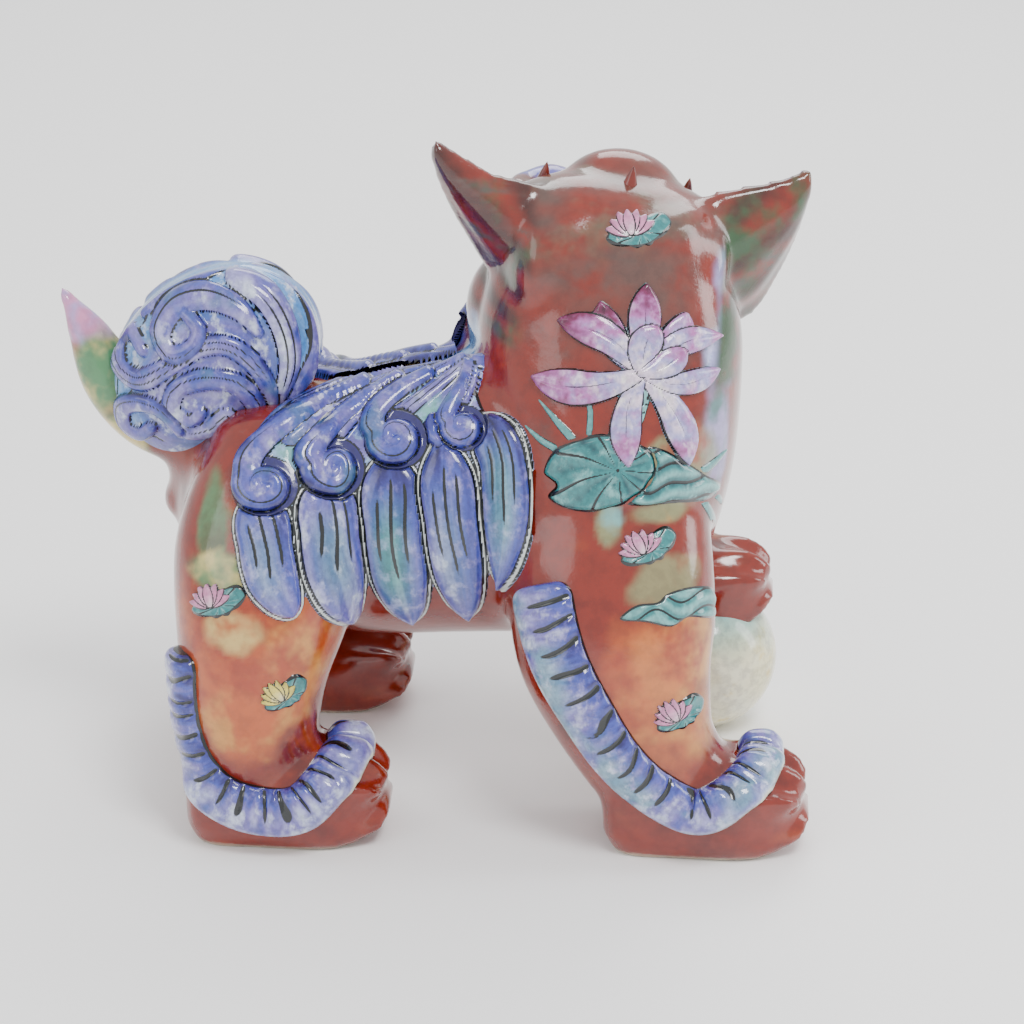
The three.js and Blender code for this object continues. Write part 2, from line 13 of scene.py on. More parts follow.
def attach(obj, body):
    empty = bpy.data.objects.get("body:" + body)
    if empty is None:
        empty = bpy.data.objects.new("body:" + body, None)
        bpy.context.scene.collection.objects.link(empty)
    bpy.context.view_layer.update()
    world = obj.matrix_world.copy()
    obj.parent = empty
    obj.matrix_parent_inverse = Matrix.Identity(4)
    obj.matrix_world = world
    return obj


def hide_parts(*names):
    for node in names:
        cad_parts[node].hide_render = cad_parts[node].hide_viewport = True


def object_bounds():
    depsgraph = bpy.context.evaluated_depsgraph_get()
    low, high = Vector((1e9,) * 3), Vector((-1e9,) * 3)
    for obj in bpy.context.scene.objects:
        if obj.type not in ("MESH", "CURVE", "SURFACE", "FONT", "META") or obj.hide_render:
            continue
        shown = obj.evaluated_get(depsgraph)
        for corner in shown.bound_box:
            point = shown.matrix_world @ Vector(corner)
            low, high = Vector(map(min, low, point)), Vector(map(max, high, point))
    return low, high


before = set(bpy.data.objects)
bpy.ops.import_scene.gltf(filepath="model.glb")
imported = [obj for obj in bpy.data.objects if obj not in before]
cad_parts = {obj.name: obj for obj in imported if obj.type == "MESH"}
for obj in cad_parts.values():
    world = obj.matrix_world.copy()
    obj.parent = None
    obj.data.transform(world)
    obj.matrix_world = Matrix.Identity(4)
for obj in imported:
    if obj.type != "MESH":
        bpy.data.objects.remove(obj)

CAD_LOW, CAD_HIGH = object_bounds()

# Driving dimensions, in millimetres and degrees
MM = 0.001
DEG = math.pi / 180
RIGHT, LEFT = -1, 1
BACK_HEIGHT = 257
BODY_DEPTH = 164
BODY_WIDTH = 154
STANCE = 88
PAW_LENGTH, PAW_WIDTH, PAW_HEIGHT = 122, 74, 56
TOES = 4
FORE_TOE, HIND_TOE = 224, -21
BALL_RADIUS = 46
BALL_MIDDLE = (160, 66, 44)
RAISED_TOE, RAISED_MIDDLE, RAISED_SOLE, RAISED_SIZE = 203, 70, 72, 0.82
HEAD_MIDDLE = (101, 6, 316)
HEAD_YAW, HEAD_ROLL, HEAD_PITCH = 13, 10, 6
TAIL_MIDDLE = (-130, 0, 260)
TAIL_RADII = (69, 38, 53)
TAIL_SLOPE = 43
EAR_THICK = 9
VOXEL = 2.6
AXIS_X, AXIS_Y = np.array([1.0, 0, 0]), np.array([0, 1.0, 0])

# The middle of the solid's underside is the origin of the frame, and the fore toe is its foremost point.
SHIFT = np.array([CAD_HIGH.x / MM - FORE_TOE, 0, 0])


# Colours, as they look on a screen
def tint(red, green, blue):
    share = np.array([red, green, blue]) / 255
    return np.where(share > 0.04045, ((share + 0.055) / 1.055) ** 2.4, share / 12.92)


INK = tint(9, 17, 20)
RED = tint(124, 32, 16)
DEEP_RED = tint(98, 18, 12)
MAROON = tint(62, 20, 14)
RUST = tint(158, 56, 22)
ORANGE = tint(186, 88, 34)
AMBER = tint(205, 142, 62)
STRAW = tint(214, 194, 120)
KHAKI = tint(132, 138, 96)
MOSS = tint(58, 92, 58)
GREEN = tint(74, 128, 84)
SLATE = tint(74, 66, 60)
CREAM = tint(226, 226, 206)
BALL_CREAM = tint(222, 214, 156)
NIGHT = tint(24, 20, 66)
INDIGO = tint(44, 42, 118)
ULTRAMARINE = tint(66, 78, 168)
VIOLET = tint(110, 102, 176)
LILAC = tint(158, 156, 208)
FROST = tint(200, 210, 230)
SKY = tint(60, 132, 204)
PALE_SKY = tint(150, 186, 222)
TEAL = tint(44, 122, 124)
PALE_TEAL = tint(118, 178, 176)
DEEP_TEAL = tint(20, 76, 84)
MAGENTA = tint(112, 26, 74)
DARK_PLUM = tint(62, 16, 40)
ORCHID = tint(176, 104, 170)
PINK = tint(206, 130, 172)
BLUSH = tint(226, 206, 226)
YELLOW = tint(224, 206, 92)
CLAY = tint(196, 184, 160)
WHITE = tint(236, 236, 232)
BLUES = [NIGHT, INDIGO, ULTRAMARINE, VIOLET, LILAC, FROST]


def mixed(one, other, share):
    share = np.clip(np.asarray(share, float), 0, 1)[..., None]
    return one * (1 - share) + other * share


def ramp(colours, tone):
    """The colour at tone, from 0 to 1, along a row of colours."""
    stops = np.linspace(0, 1, len(colours))
    table = np.array(colours)
    return np.stack([np.interp(tone, stops, table[:, k]) for k in range(3)], -1)


def step(low, high, value):
    t = np.clip((value - low) / (high - low), 0, 1)
    return t * t * (3 - 2 * t)


def cloud(points, size, seed):
    """Smooth noise from about -1 to 1, in blobs of about the size given, or of one size along each axis."""
    table = np.random.default_rng(seed).uniform(-1, 1, (32, 32, 32))
    place = np.asarray(points, float) / size + 9000
    cell = np.floor(place).astype(int)
    part = place - cell
    part = part * part * (3 - 2 * part)
    total = np.zeros(place.shape[:-1])
    for corner in itertools.product((0, 1), repeat=3):
        weight = np.ones(place.shape[:-1])
        for axis in range(3):
            weight = weight * (part[..., axis] if corner[axis] else 1 - part[..., axis])
        x, y, z = [(cell[..., axis] + corner[axis]) % 32 for axis in range(3)]
        total += weight * table[x, y, z]
    return total


def brushed(points, size, seed):
    """Noise with finer noise on it, as brushed colour lies."""
    size = np.asarray(size, float)
    return (cloud(points, size, seed) + 0.5 * cloud(points, size / 2.1, seed + 1) + 0.3 * cloud(points, size / 4.3, seed + 2)) / 1.3


def along(rows, u):
    """Rows of numbers joined by a smooth curve, at u from 0 to 1."""
    rows = np.asarray(rows, float)
    last = len(rows) - 1
    place = np.atleast_1d(u) * last
    k = np.minimum(place.astype(int), last - 1)
    t = (place - k)[:, None]
    a, b, c, d = rows[np.maximum(k - 1, 0)], rows[k], rows[k + 1], rows[np.minimum(k + 2, last)]
    return b + 0.5 * t * (c - a + t * (2 * a - 5 * b + 4 * c - d + t * (3 * (b - c) + d - a)))


def unit(vectors):
    return vectors / np.maximum(np.linalg.norm(vectors, axis=-1, keepdims=True), 1e-9)


# Closed skins, as (points, faces)
def capped(rings, first, final):
    count, sides = rings.shape[:2]
    points = np.concatenate([rings.reshape(-1, 3), [first, final]])
    faces = []
    for ring in range(count - 1):
        for k in range(sides):
            one, other = ring * sides + k, ring * sides + (k + 1) % sides
            faces.append((one, other, other + sides, one + sides))
    for k in range(sides):
        faces.append((count * sides, (k + 1) % sides, k))
        faces.append((count * sides + 1, (count - 1) * sides + k, (count - 1) * sides + (k + 1) % sides))
    return points, faces


def tube(rows, side, domes, rings=28, sides=40, dome_rings=8):
    """A swelling tube through rows of [x, y, z, half width, half depth], with domed ends."""
    turn = np.linspace(0, 90, dome_rings + 1)[1:-1] * DEG
    none = np.zeros(dome_rings - 1)
    u = np.concatenate([none, np.linspace(0, 1, rings + 1), none + 1])
    out = np.concatenate([-domes[0] * np.sin(turn[::-1]), np.zeros(rings + 1), domes[1] * np.sin(turn)])
    shrink = np.concatenate([np.cos(turn[::-1]), np.ones(rings + 1), np.cos(turn)])[:, None, None]
    here = along(rows, u)
    ahead = along(rows, np.minimum(u + 1e-3, 1)) - along(rows, np.maximum(u - 1e-3, 0))
    ahead = unit(ahead[:, :3])
    wide = unit(side - ahead * (ahead @ side)[:, None])
    deep = np.cross(ahead, wide)
    centre = here[:, :3] + ahead * out[:, None]
    angle = np.linspace(0, 2 * math.pi, sides, endpoint=False)[None, :, None]
    spread = wide[:, None] * np.cos(angle) * here[:, 3, None, None]
    spread = spread + deep[:, None] * np.sin(angle) * here[:, 4, None, None]
    rings_made = centre[:, None] + shrink * spread
    first, final = here[0, :3] - ahead[0] * domes[0], here[-1, :3] + ahead[-1] * domes[1]
    return capped(rings_made, first, final)


def ball(middle, radii, columns=48, rows=32):
    """An ellipsoid whose poles lie on its z axis."""
    down = np.linspace(0, 180, rows + 1)[1:-1, None] * DEG
    turn = np.linspace(0, 360, columns, endpoint=False)[None] * DEG
    rings = np.stack([np.sin(down) * np.cos(turn), np.sin(down) * np.sin(turn), np.cos(down) + 0 * turn], -1)
    middle, radii = np.array(middle, float), np.array(radii, float)
    top = np.array([0, 0, 1.0])
    return capped(middle + rings * radii, middle + top * radii, middle - top * radii)


def rotation(axis, degrees):
    c, s = math.cos(degrees * DEG), math.sin(degrees * DEG)
    table = {"x": [[1, 0, 0], [0, c, -s], [0, s, c]], "y": [[c, 0, s], [0, 1, 0], [-s, 0, c]]}
    table["z"] = [[c, -s, 0], [s, c, 0], [0, 0, 1]]
    return np.array(table[axis])


HEAD_TURN = rotation("z", HEAD_YAW) @ rotation("y", HEAD_ROLL) @ rotation("x", HEAD_PITCH)


def on_head(skin):
    points, faces = skin
    return points @ HEAD_TURN.T + HEAD_MIDDLE, faces


def in_head(points):
    """Points of the figure in the head's own measures: x to its right, y the way it looks, z up."""
    return (points - HEAD_MIDDLE) @ HEAD_TURN


def on_side(rows, side):
    return [[x, y * side, *rest] for x, y, *rest in rows]


# The plain forms
def trunk():
    middle, wide, deep = BACK_HEIGHT - BODY_DEPTH / 2, BODY_WIDTH / 2, BODY_DEPTH / 2
    rows = [
        [-124, 0, middle + 6, wide * 0.72, deep * 0.66],
        [-90, 0, middle + 1, wide * 0.93, deep * 0.86],
        [-40, 0, middle - 3, wide, deep * 0.95],
        [10, 0, middle + 3, wide, deep * 1.02],
        [60, 0, middle + 10, wide * 1.02, deep * 1.08],
        [105, 0, middle + 14, wide * 0.98, deep * 1.08],
    ]
    return tube(rows, AXIS_Y, (30, 42), 40, 64)


def neck():
    rows = [
        [110, -2, 135, 48, 64],
        [108, -3, 165, 59, 82],
        [106, -3, 205, 70, 87],
        [103, 0, 245, 76, 80],
        [101, 4, 285, 77, 67],
        [100, 7, 322, 68, 56],
        [99, 7, 350, 60, 47],
    ]
    return tube(rows, AXIS_X, (24, 18), 40, 64)


FORELEG = [
    [106, 40, 215, 52, 36],
    [105, 56, 180, 58, 42],
    [106, 70, 150, 60, 45],
    [109, 80, 118, 58, 43],
    [117, 86, 88, 50, 39],
    [128, 89, 60, 42, 35],
    [142, 89, 38, 38, 31],
]
HIND_LEG = [
    [-88, 32, 225, 40, 30],
    [-90, 46, 197, 50, 38],
    [-94, 60, 165, 55, 45],
    [-98, 73, 132, 51, 47],
    [-102, 81, 100, 44, 45],
    [-103, 86, 68, 39, 40],
    [-100, 88, 42, 35, 33],
]
RAISED_LEG = [
    [104, 40, 200, 40, 46],
    [99, 70, 162, 38, 42],
    [112, 83, 132, 33, 34],
    [142, 78, 112, 27, 27],
]


def paw(tip_x, y, sole, size=1.0):
    """A paw along +X. Grooves cut its front into toes."""
    long, wide, tall = PAW_LENGTH * size, PAW_WIDTH * size, PAW_HEIGHT * size
    # Rows: how far behind the tips, half width, height, depth of the grooves, and height of the underside.
    rows = [
        [long * 0.99, wide * 0.24, tall * 0.66, 0, tall * 0.2],
        [long * 0.91, wide * 0.42, tall * 0.86, 0, -2],
        [long * 0.6, wide * 0.49, tall * 0.98, 0, -2],
        [long * 0.34, wide * 0.51, tall * 1.04, 0.1, -2],
        [long * 0.17, wide * 0.47, tall * 1.02, 0.2, tall * 0.03],
        [long * 0.05, wide * 0.4, tall * 0.88, 0.26, tall * 0.2],
        [0, wide * 0.28, tall * 0.7, 0.26, tall * 0.36],
    ]
    share = np.linspace(0, 1, 49)
    rings = []
    for back, half, height, groove, low in along(rows, np.linspace(0, 1, 40)):
        lobe = 1 - groove * np.abs(np.cos(share * TOES * math.pi)) ** 3
        up = low + (height - low) * (0.35 + 0.65 * np.sin(share * math.pi) ** 0.6) * lobe
        set_back = long * (0.25 * (1 - lobe) + 0.06 * (2 * share - 1) ** 2) * min(groove * 5, 1)
        across = y - half * np.cos(share * math.pi) * (0.9 + 0.1 * lobe)
        arch = np.stack([tip_x - back - set_back, across, sole + up], -1)
        turn = np.linspace(0.86, -0.86, 14)
        under = np.stack([tip_x - back + 0 * turn, y + turn * half, sole + low + 0 * turn], -1)
        rings.append(np.concatenate([arch, under]))
    rings = np.array(rings)
    return capped(rings, rings[0].mean(0), rings[-1].mean(0))


def skull():
    barrel = [
        [-50, 4, 6, 44, 42],
        [-22, 4, 8, 50, 50],
        [22, 4, 8, 50, 50],
        [50, 4, 6, 44, 42],
    ]
    parts = [tube(barrel, AXIS_Y, (16, 16), 20, 56), ball([3, 26, 36], [38, 28, 31])]
    parts += [ball([side * 39, 24, -37], [35, 40, 38]) for side in (RIGHT, LEFT)]
    return [on_head(part) for part in parts]


def face():
    parts = [
        ball([0, 62, -14], [46, 38, 25]),
        ball([0, 96, -3], [22, 13, 13]),
        ball([0, 64, -50], [39, 31, 21]),
        ball([-13, 100, -7], [10, 10, 9]),
        ball([13, 100, -7], [10, 10, 9]),
    ]
    for side in (RIGHT, LEFT):
        brow = [[side * 6, 66, 16, 8, 7], [side * 24, 72, 26, 10, 8], [side * 44, 62, 24, 9, 8], [side * 54, 46, 28, 6, 6]]
        parts.append(tube(brow, AXIS_Y, (6, 5), 16, 20, 5))
    return [on_head(part) for part in parts]


BEARD_ANGLES = (-76, -38, 0, 38, 76)


def beard():
    made = []
    for angle in BEARD_ANGLES:
        across, out = math.sin(angle * DEG), math.cos(angle * DEG)
        rows = [
            [58 * across, 26 + 40 * out, -56, 14, 12],
            [58 * across, 26 + 46 * out, -76, 13, 12],
            [54 * across, 26 + 44 * out, -96, 6, 6],
        ]
        made.append(on_head(tube(rows, AXIS_X, (8, 6), 16, 20, 5)))
    return made


LEFT_EAR = [
    [-34, 48, -30, -24, 20, 8],
    [-62, 53, -60, -18, 19, 14],
    [-82, 56, -88, 13, 14, 14],
    [-101, 64, -107, 40, 9, 8],
    [-117, 71, -117, 60, 3, 2],
]
RIGHT_EAR = [
    [34, 48, 66, -36, 20, 8],
    [54, 59, 92, -18, 19, 10],
    [74, 66, 102, 8, 15, 10],
    [93, 73, 107, 38, 9, 6],
    [104, 80, 108, 66, 3, 2],
]


def ear(rows):
    """A pointed cup, open to the front, with a rolled edge and ribs down its back."""
    rings = []
    t = np.linspace(0, 1, 33)
    for top_x, top_z, low_x, low_z, cup, lean in along(rows, np.linspace(0, 1, 44)):
        def edge(share, thick):
            forward = thick - cup * np.sin(share * math.pi) + lean * (share - 0.3)
            return np.stack([top_x + (low_x - top_x) * share, forward, top_z + (low_z - top_z) * share], -1)

        thick = EAR_THICK * (1 - 0.15 * np.cos(t * math.pi * 2))
        rings.append(np.concatenate([edge(t, -0.6 * np.cos(t * math.pi * 8)), edge(t[::-1], thick)]))
    rings = np.array(rings)
    return on_head(capped(rings, rings[0].mean(0), rings[-1].mean(0)))


LEAF = [
    [-140, 0, 212, 20, 24],
    [-172, 0, 222, 17, 19],
    [-191, 0, 246, 18, 15],
    [-203, 0, 274, 13, 11],
    [-215, 0, 297, 4, 6],
]
STALK = [
    [-118, 0, 170, 36, 30],
    [-134, 0, 192, 26, 24],
    [-132, 0, 222, 24, 24],
]


def plain_body():
    parts = [trunk(), neck()]
    parts += [tube(on_side(FORELEG, RIGHT), AXIS_X, (20, 15)), tube(RAISED_LEG, AXIS_Y, (20, 15))]
    parts += [tube(on_side(HIND_LEG, side), AXIS_X, (20, 15)) for side in (RIGHT, LEFT)]
    parts += [paw(FORE_TOE, RIGHT * STANCE, 0), paw(RAISED_TOE, RAISED_MIDDLE, RAISED_SOLE, RAISED_SIZE)]
    parts += [paw(HIND_TOE, side * STANCE, 0) for side in (RIGHT, LEFT)]
    parts += [tube(LEAF, AXIS_X, (12, 8)), tube(STALK, AXIS_X, (14, 14)), ball([-148, 0, 174], [15, 22, 14])]
    parts += skull() + face() + beard() + [ear(LEFT_EAR), ear(RIGHT_EAR)]
    return parts


# Skin in one piece
def together(parts):
    points = np.concatenate([part[0] for part in parts])
    starts = np.cumsum([0] + [len(part[0]) for part in parts[:-1]])
    faces = [tuple(k + start for k in face) for start, part in zip(starts, parts) for face in part[1]]
    return points, faces


def remeshed(points, faces, size):
    mesh = bpy.data.meshes.new("draft")
    mesh.from_pydata(points.tolist(), [], faces)
    draft = bpy.data.objects.new("draft", mesh)
    bpy.context.scene.collection.objects.link(draft)
    cover = draft.modifiers.new("cover", "REMESH")
    cover.mode, cover.voxel_size, cover.adaptivity = "VOXEL", size, 0
    done = draft.evaluated_get(bpy.context.evaluated_depsgraph_get()).to_mesh()
    found = np.zeros(len(done.vertices) * 3)
    done.vertices.foreach_get("co", found)
    corners = np.array([tuple(face.vertices) for face in done.polygons])
    bpy.data.objects.remove(draft)
    return found.reshape(-1, 3), corners


def summed(index, values, count):
    return np.stack([np.bincount(index, values[:, k], count) for k in range(3)], -1)


def normals_of(points, faces):
    a, b, c, d = [points[faces[:, k]] for k in range(4)]
    flat = np.cross(c - a, d - b)
    return unit(sum(summed(faces[:, k], flat, len(points)) for k in range(4)))


def neighbours(faces):
    pairs = np.concatenate([faces[:, [k, (k + 1) % 4]] for k in range(4)])
    return np.concatenate([pairs, pairs[:, ::-1]])


def filleted(points, faces, free, rounds):
    """The creases filled, as glaze and clay fill them. Where "free" is 0, the skin stays."""
    pairs = neighbours(faces)
    degree = np.bincount(pairs[:, 0], minlength=len(points))[:, None]
    for k in range(rounds):
        middle = summed(pairs[:, 0], points[pairs[:, 1]], len(points)) / degree
        move = middle - points
        if k % 3 == 0:
            normals = normals_of(points, faces)
        outward = (move * normals).sum(-1)
        share = 0.5 * free * step(0.0, 0.03, outward)
        points = points + move * share[:, None]
    return points


def relaxed(points, faces, rounds, share=0.5):
    pairs = neighbours(faces)
    degree = np.bincount(pairs[:, 0], minlength=len(points))[:, None]
    for _ in range(rounds):
        middle = summed(pairs[:, 0], points[pairs[:, 1]], len(points)) / degree
        points = points + (middle - points) * share
    return points


# Materials
def glaze(name, grain=60, stretch=(1, 1, 1), rough=0.13, speck=0.35, soft=0.14, detail=7, streaks=0.42):
    """Painted glaze. Its two colours and its dark line come with the mesh, and noise decides where each one shows."""
    material = bpy.data.materials.new(name)
    material.use_nodes = True
    nodes, links = material.node_tree.nodes, material.node_tree.links
    shader = nodes["Principled BSDF"]

    def node(kind, **settings):
        made = nodes.new(kind)
        for key, value in settings.items():
            setattr(made, key, value)
        return made

    def noise(scale, detail, source):
        made = node("ShaderNodeTexNoise")
        made.inputs["Scale"].default_value = scale
        made.inputs["Detail"].default_value = detail
        made.inputs["Roughness"].default_value = 0.6
        links.new(source, made.inputs["Vector"])
        return made.outputs["Fac"]

    def spread(source, low, high, to_low=0.0, to_high=1.0):
        made = node("ShaderNodeMapRange", interpolation_type="SMOOTHSTEP")
        for key, value in (("From Min", low), ("From Max", high), ("To Min", to_low), ("To Max", to_high)):
            made.inputs[key].default_value = value
        links.new(source, made.inputs["Value"])
        return made.outputs["Result"]

    def worked(operation, one, other):
        made = node("ShaderNodeMath", operation=operation)
        for socket, value in zip(made.inputs, (one, other)):
            if isinstance(value, (int, float)):
                socket.default_value = value
            else:
                links.new(value, socket)
        return made.outputs[0]

    def blend(mode, share, one, other):
        made = node("ShaderNodeMix", data_type="RGBA", blend_type=mode)
        for socket, value in ((made.inputs[0], share), (made.inputs[6], one), (made.inputs[7], other)):
            if isinstance(value, (int, float)):
                socket.default_value = value
            elif isinstance(value, tuple):
                socket.default_value = (*value, 1)
            else:
                links.new(value, socket)
        return made.outputs[2]

    place = node("ShaderNodeTexCoord").outputs["Object"]
    stretched = node("ShaderNodeMapping")
    stretched.inputs["Scale"].default_value = stretch
    links.new(place, stretched.inputs["Vector"])
    place_stretched = stretched.outputs["Vector"]
    paint, wash, marks = [node("ShaderNodeAttribute", attribute_name=key) for key in ("paint", "wash", "marks")]
    split = node("ShaderNodeSeparateColor")
    links.new(marks.outputs["Color"], split.inputs[0])
    ink, amount, raw = split.outputs[0], split.outputs[1], split.outputs[2]
    broad = noise(grain, detail, place_stretched)
    shown = spread(worked("ADD", worked("MULTIPLY", broad, 1.6), amount), 1.3 - soft, 1.3 + soft)
    colour = blend("MIX", shown, paint.outputs["Color"], wash.outputs["Color"])
    streak = noise(grain * 3.4, 8, place_stretched)
    colour = blend("MULTIPLY", spread(streak, 0.35, 0.6, streaks, 0.0), colour, (0.42, 0.4, 0.44))
    colour = blend("MIX", worked("MULTIPLY", spread(noise(grain * 9, 4, place), 0.62, 0.74), speck), colour, wash.outputs["Color"])
    colour = blend("MIX", spread(worked("ADD", ink, worked("MULTIPLY", noise(900, 3, place), 0.3)), 0.42, 0.72), colour, tuple(INK))
    links.new(colour, shader.inputs["Base Color"])
    gloss = spread(noise(220, 5, place), 0.3, 0.75, rough * 0.7, rough * 1.7)
    links.new(worked("ADD", gloss, worked("MULTIPLY", raw, 0.5)), shader.inputs["Roughness"])
    shader.inputs["Coat Weight"].default_value = 0.55
    shader.inputs["Coat Roughness"].default_value = 0.06
    shader.inputs["IOR"].default_value = 1.5
    bump = node("ShaderNodeBump")
    bump.inputs["Strength"].default_value = 0.22
    bump.inputs["Distance"].default_value = 0.0012
    links.new(noise(140, 5, place), bump.inputs["Height"])
    links.new(bump.outputs["Normal"], shader.inputs["Normal"])
    return material


def show(name, points, faces, material, paint, wash, ink=0.0, amount=0.0, raw=0.0):
    """A piece from points in the figure's millimetres, with its colours."""
    mesh = bpy.data.meshes.new(name)
    corners = faces.tolist() if isinstance(faces, np.ndarray) else faces
    mesh.from_pydata(((points + SHIFT) * MM).tolist(), [], corners)
    count = len(points)
    full = np.ones((count, 4))
    for key, value in (("paint", paint), ("wash", wash)):
        full[:, :3] = np.broadcast_to(value, (count, 3))
        mesh.attributes.new(key, "FLOAT_COLOR", "POINT").data.foreach_set("color", full.ravel())
    for k, value in enumerate((ink, amount, raw)):
        full[:, k] = np.broadcast_to(value, (count,))
    mesh.attributes.new("marks", "FLOAT_COLOR", "POINT").data.foreach_set("color", full.ravel())
    mesh.polygons.foreach_set("use_smooth", [True] * len(mesh.polygons))
    mesh.materials.append(material)
    piece = bpy.data.objects.new(name, mesh)
    bpy.context.scene.collection.objects.link(piece)
    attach(piece, "root")
    return piece


# Reliefs: a fine grid thrown on the body along parallel lines
def facing(side, above):
    return np.array([0, side * math.cos(above * DEG), math.sin(above * DEG)])


def softened(values, rounds):
    """A grid of values, each the mean of its surroundings."""
    for _ in range(rounds):
        for axis in (0, 1):
            pad = [(1, 1) if k == axis else (0, 0) for k in range(values.ndim)]
            edged = np.pad(values, pad, mode="edge")
            low, high = [np.take(edged, np.arange(values.shape[axis]) + k, axis) for k in (0, 2)]
            values = 0.5 * values + 0.25 * (low + high)
    return values


def thrown(tree, x, z, side, above, plane):
    """Where a grid of x and z on the plane |y| = plane meets the body, and the way out from it there."""
    outward = facing(side, above)
    direction = Vector(-outward)
    start = np.stack([x, np.full_like(x, side * plane), z], -1) + outward * 300
    spots, ways, found = np.zeros(start.shape), np.tile(outward, (*x.shape, 1)), np.zeros(x.shape, bool)
    for place in np.ndindex(x.shape):
        spot, way, _, _ = tree.ray_cast(Vector(start[place]), direction)
        if spot is not None:
            spots[place], ways[place], found[place] = spot, way, True
    return spots, unit(softened(ways, 10)), found


def grid_faces(kept):
    rows, columns = kept.shape
    number = np.arange(rows * columns).reshape(rows, columns)
    whole = kept[:-1, :-1] & kept[1:, :-1] & kept[1:, 1:] & kept[:-1, 1:]
    return np.stack([number[:-1, :-1], number[:-1, 1:], number[1:, 1:], number[1:, :-1]], -1)[whole]


def only_used(faces, *arrays):
    used, index = np.unique(faces, return_inverse=True)
    return index.reshape(faces.shape), [np.asarray(values)[used] for values in arrays]


REACH_STEP = 7
CREST_GAP = 3


def relief(name, tree, box, pitch, side, above, plane, form, material):
    """A grid over box = (x low, x high, z low, z high). "form" gives lift, paint, wash, ink and amount on it."""
    x, z = np.meshgrid(np.arange(box[0], box[1], pitch), np.arange(box[2], box[3], pitch))
    lift, paint, wash, ink, amount = form(x, z)
    spots, ways, found = thrown(tree, x, z, side, above, plane)
    points = spots + ways * lift[..., None]
    kept = found & (lift > EDGE_SINK + 0.05)
    apart = np.linalg.norm(np.diff(spots, axis=0, append=spots[-1:]), axis=-1)
    apart = np.maximum(apart, np.linalg.norm(np.diff(spots, axis=1, append=spots[:, -1:]), axis=-1))
    kept &= (apart < REACH_STEP * pitch) & (spots[..., 1] * side > CREST_GAP)
    faces = grid_faces(kept)
    if side == LEFT:
        faces = faces[:, ::-1]
    flat = [values.reshape(-1, *values.shape[2:]) for values in (points, paint, wash, ink, amount)]
    faces, (points, paint, wash, ink, amount) = only_used(faces, *flat)
    return show(name, points, faces, material, paint, wash, ink, amount)


EDGE_SINK = -1.4


# Drawing on a grid
def strand(x, z, rows, count=90):
    """How far each point lies from a line of [x, z, half width], as a share of the half width, to one side of it as
    a signed share, and how far along it."""
    line = along(rows, np.linspace(0, 1, count))
    way = unit(np.gradient(line[:, :2], axis=0))
    best, across, u = np.full(x.shape, 1e3), np.zeros(x.shape), np.zeros(x.shape)
    for k in range(count):
        dx, dz = x - line[k, 0], z - line[k, 1]
        share = np.hypot(dx, dz) / line[k, 2]
        near = share < best
        best = np.where(near, share, best)
        across = np.where(near, (dx * way[k, 1] - dz * way[k, 0]) / line[k, 2], across)
        u = np.where(near, k / (count - 1), u)
    return best, across, u


def margin(x, z, corners, count=160):
    """The distance to a smooth closed outline, positive inside."""
    ring = np.array([*corners, corners[0]], float)
    looped = np.array([ring[-2], *ring, ring[1]])
    line = along(looped, np.linspace(1 / (len(looped) - 1), 1 - 1 / (len(looped) - 1), count))
    best, inside = np.full(x.shape, 1e6), np.zeros(x.shape, bool)
    for (ax, az), (bx, bz) in zip(line[:-1], line[1:]):
        best = np.minimum(best, np.hypot(x - ax, z - az))
        crosses = (az > z) != (bz > z)
        inside ^= crosses & (x < (bx - ax) * (z - az) / (bz - az + 1e-9) + ax)
    return np.where(inside, best, -best)


def coil(stalk, middle, radius, start, turns, sense=1, half=7.0):
    """Rows of [x, z, half width] down a stalk and round a spiral."""
    t = np.linspace(0, 1, 16)
    angle = (start + sense * 360 * turns * t) * DEG
    shrink = radius * (1 - 0.78 * t)
    spiral = np.stack([middle[0] + shrink * np.cos(angle), middle[1] + shrink * np.sin(angle), half * (1 - 0.55 * t)], -1)
    reach = np.linspace(0.55, 1, len(stalk))
    return [[x, z, half * share] for (x, z), share in zip(stalk, reach)] + spiral.tolist()


class Sheet:
    """A grid that shapes are laid on, one over the other."""

    def __init__(self, x, z, paint):
        self.x, self.z = x, z
        self.place = np.stack([x, z, 0 * x], -1)
        self.lift = np.full(x.shape, EDGE_SINK)
        self.paint = np.broadcast_to(paint, (*x.shape, 3)).copy()
        self.wash = self.paint.copy()
        self.ink, self.amount = np.zeros(x.shape), np.zeros(x.shape)

    def lay(self, where, lift, paint, wash, ink, amount=0.4):
        """Shapes cover what lies under them where "where" is true."""
        self.lift = np.where(where, lift, self.lift)
        pick = where[..., None]
        self.paint, self.wash = np.where(pick, paint, self.paint), np.where(pick, wash, self.wash)
        self.ink, self.amount = np.where(where, ink, self.ink), np.where(where, amount, self.amount)

    def done(self, smoothing=1):
        return softened(self.lift, smoothing), self.paint, self.wash, self.ink, self.amount


def blue(tone):
    return ramp(BLUES, np.clip(tone, 0, 1))


def edge_ink(share, low=0.86, high=0.97):
    return step(low, high, share)


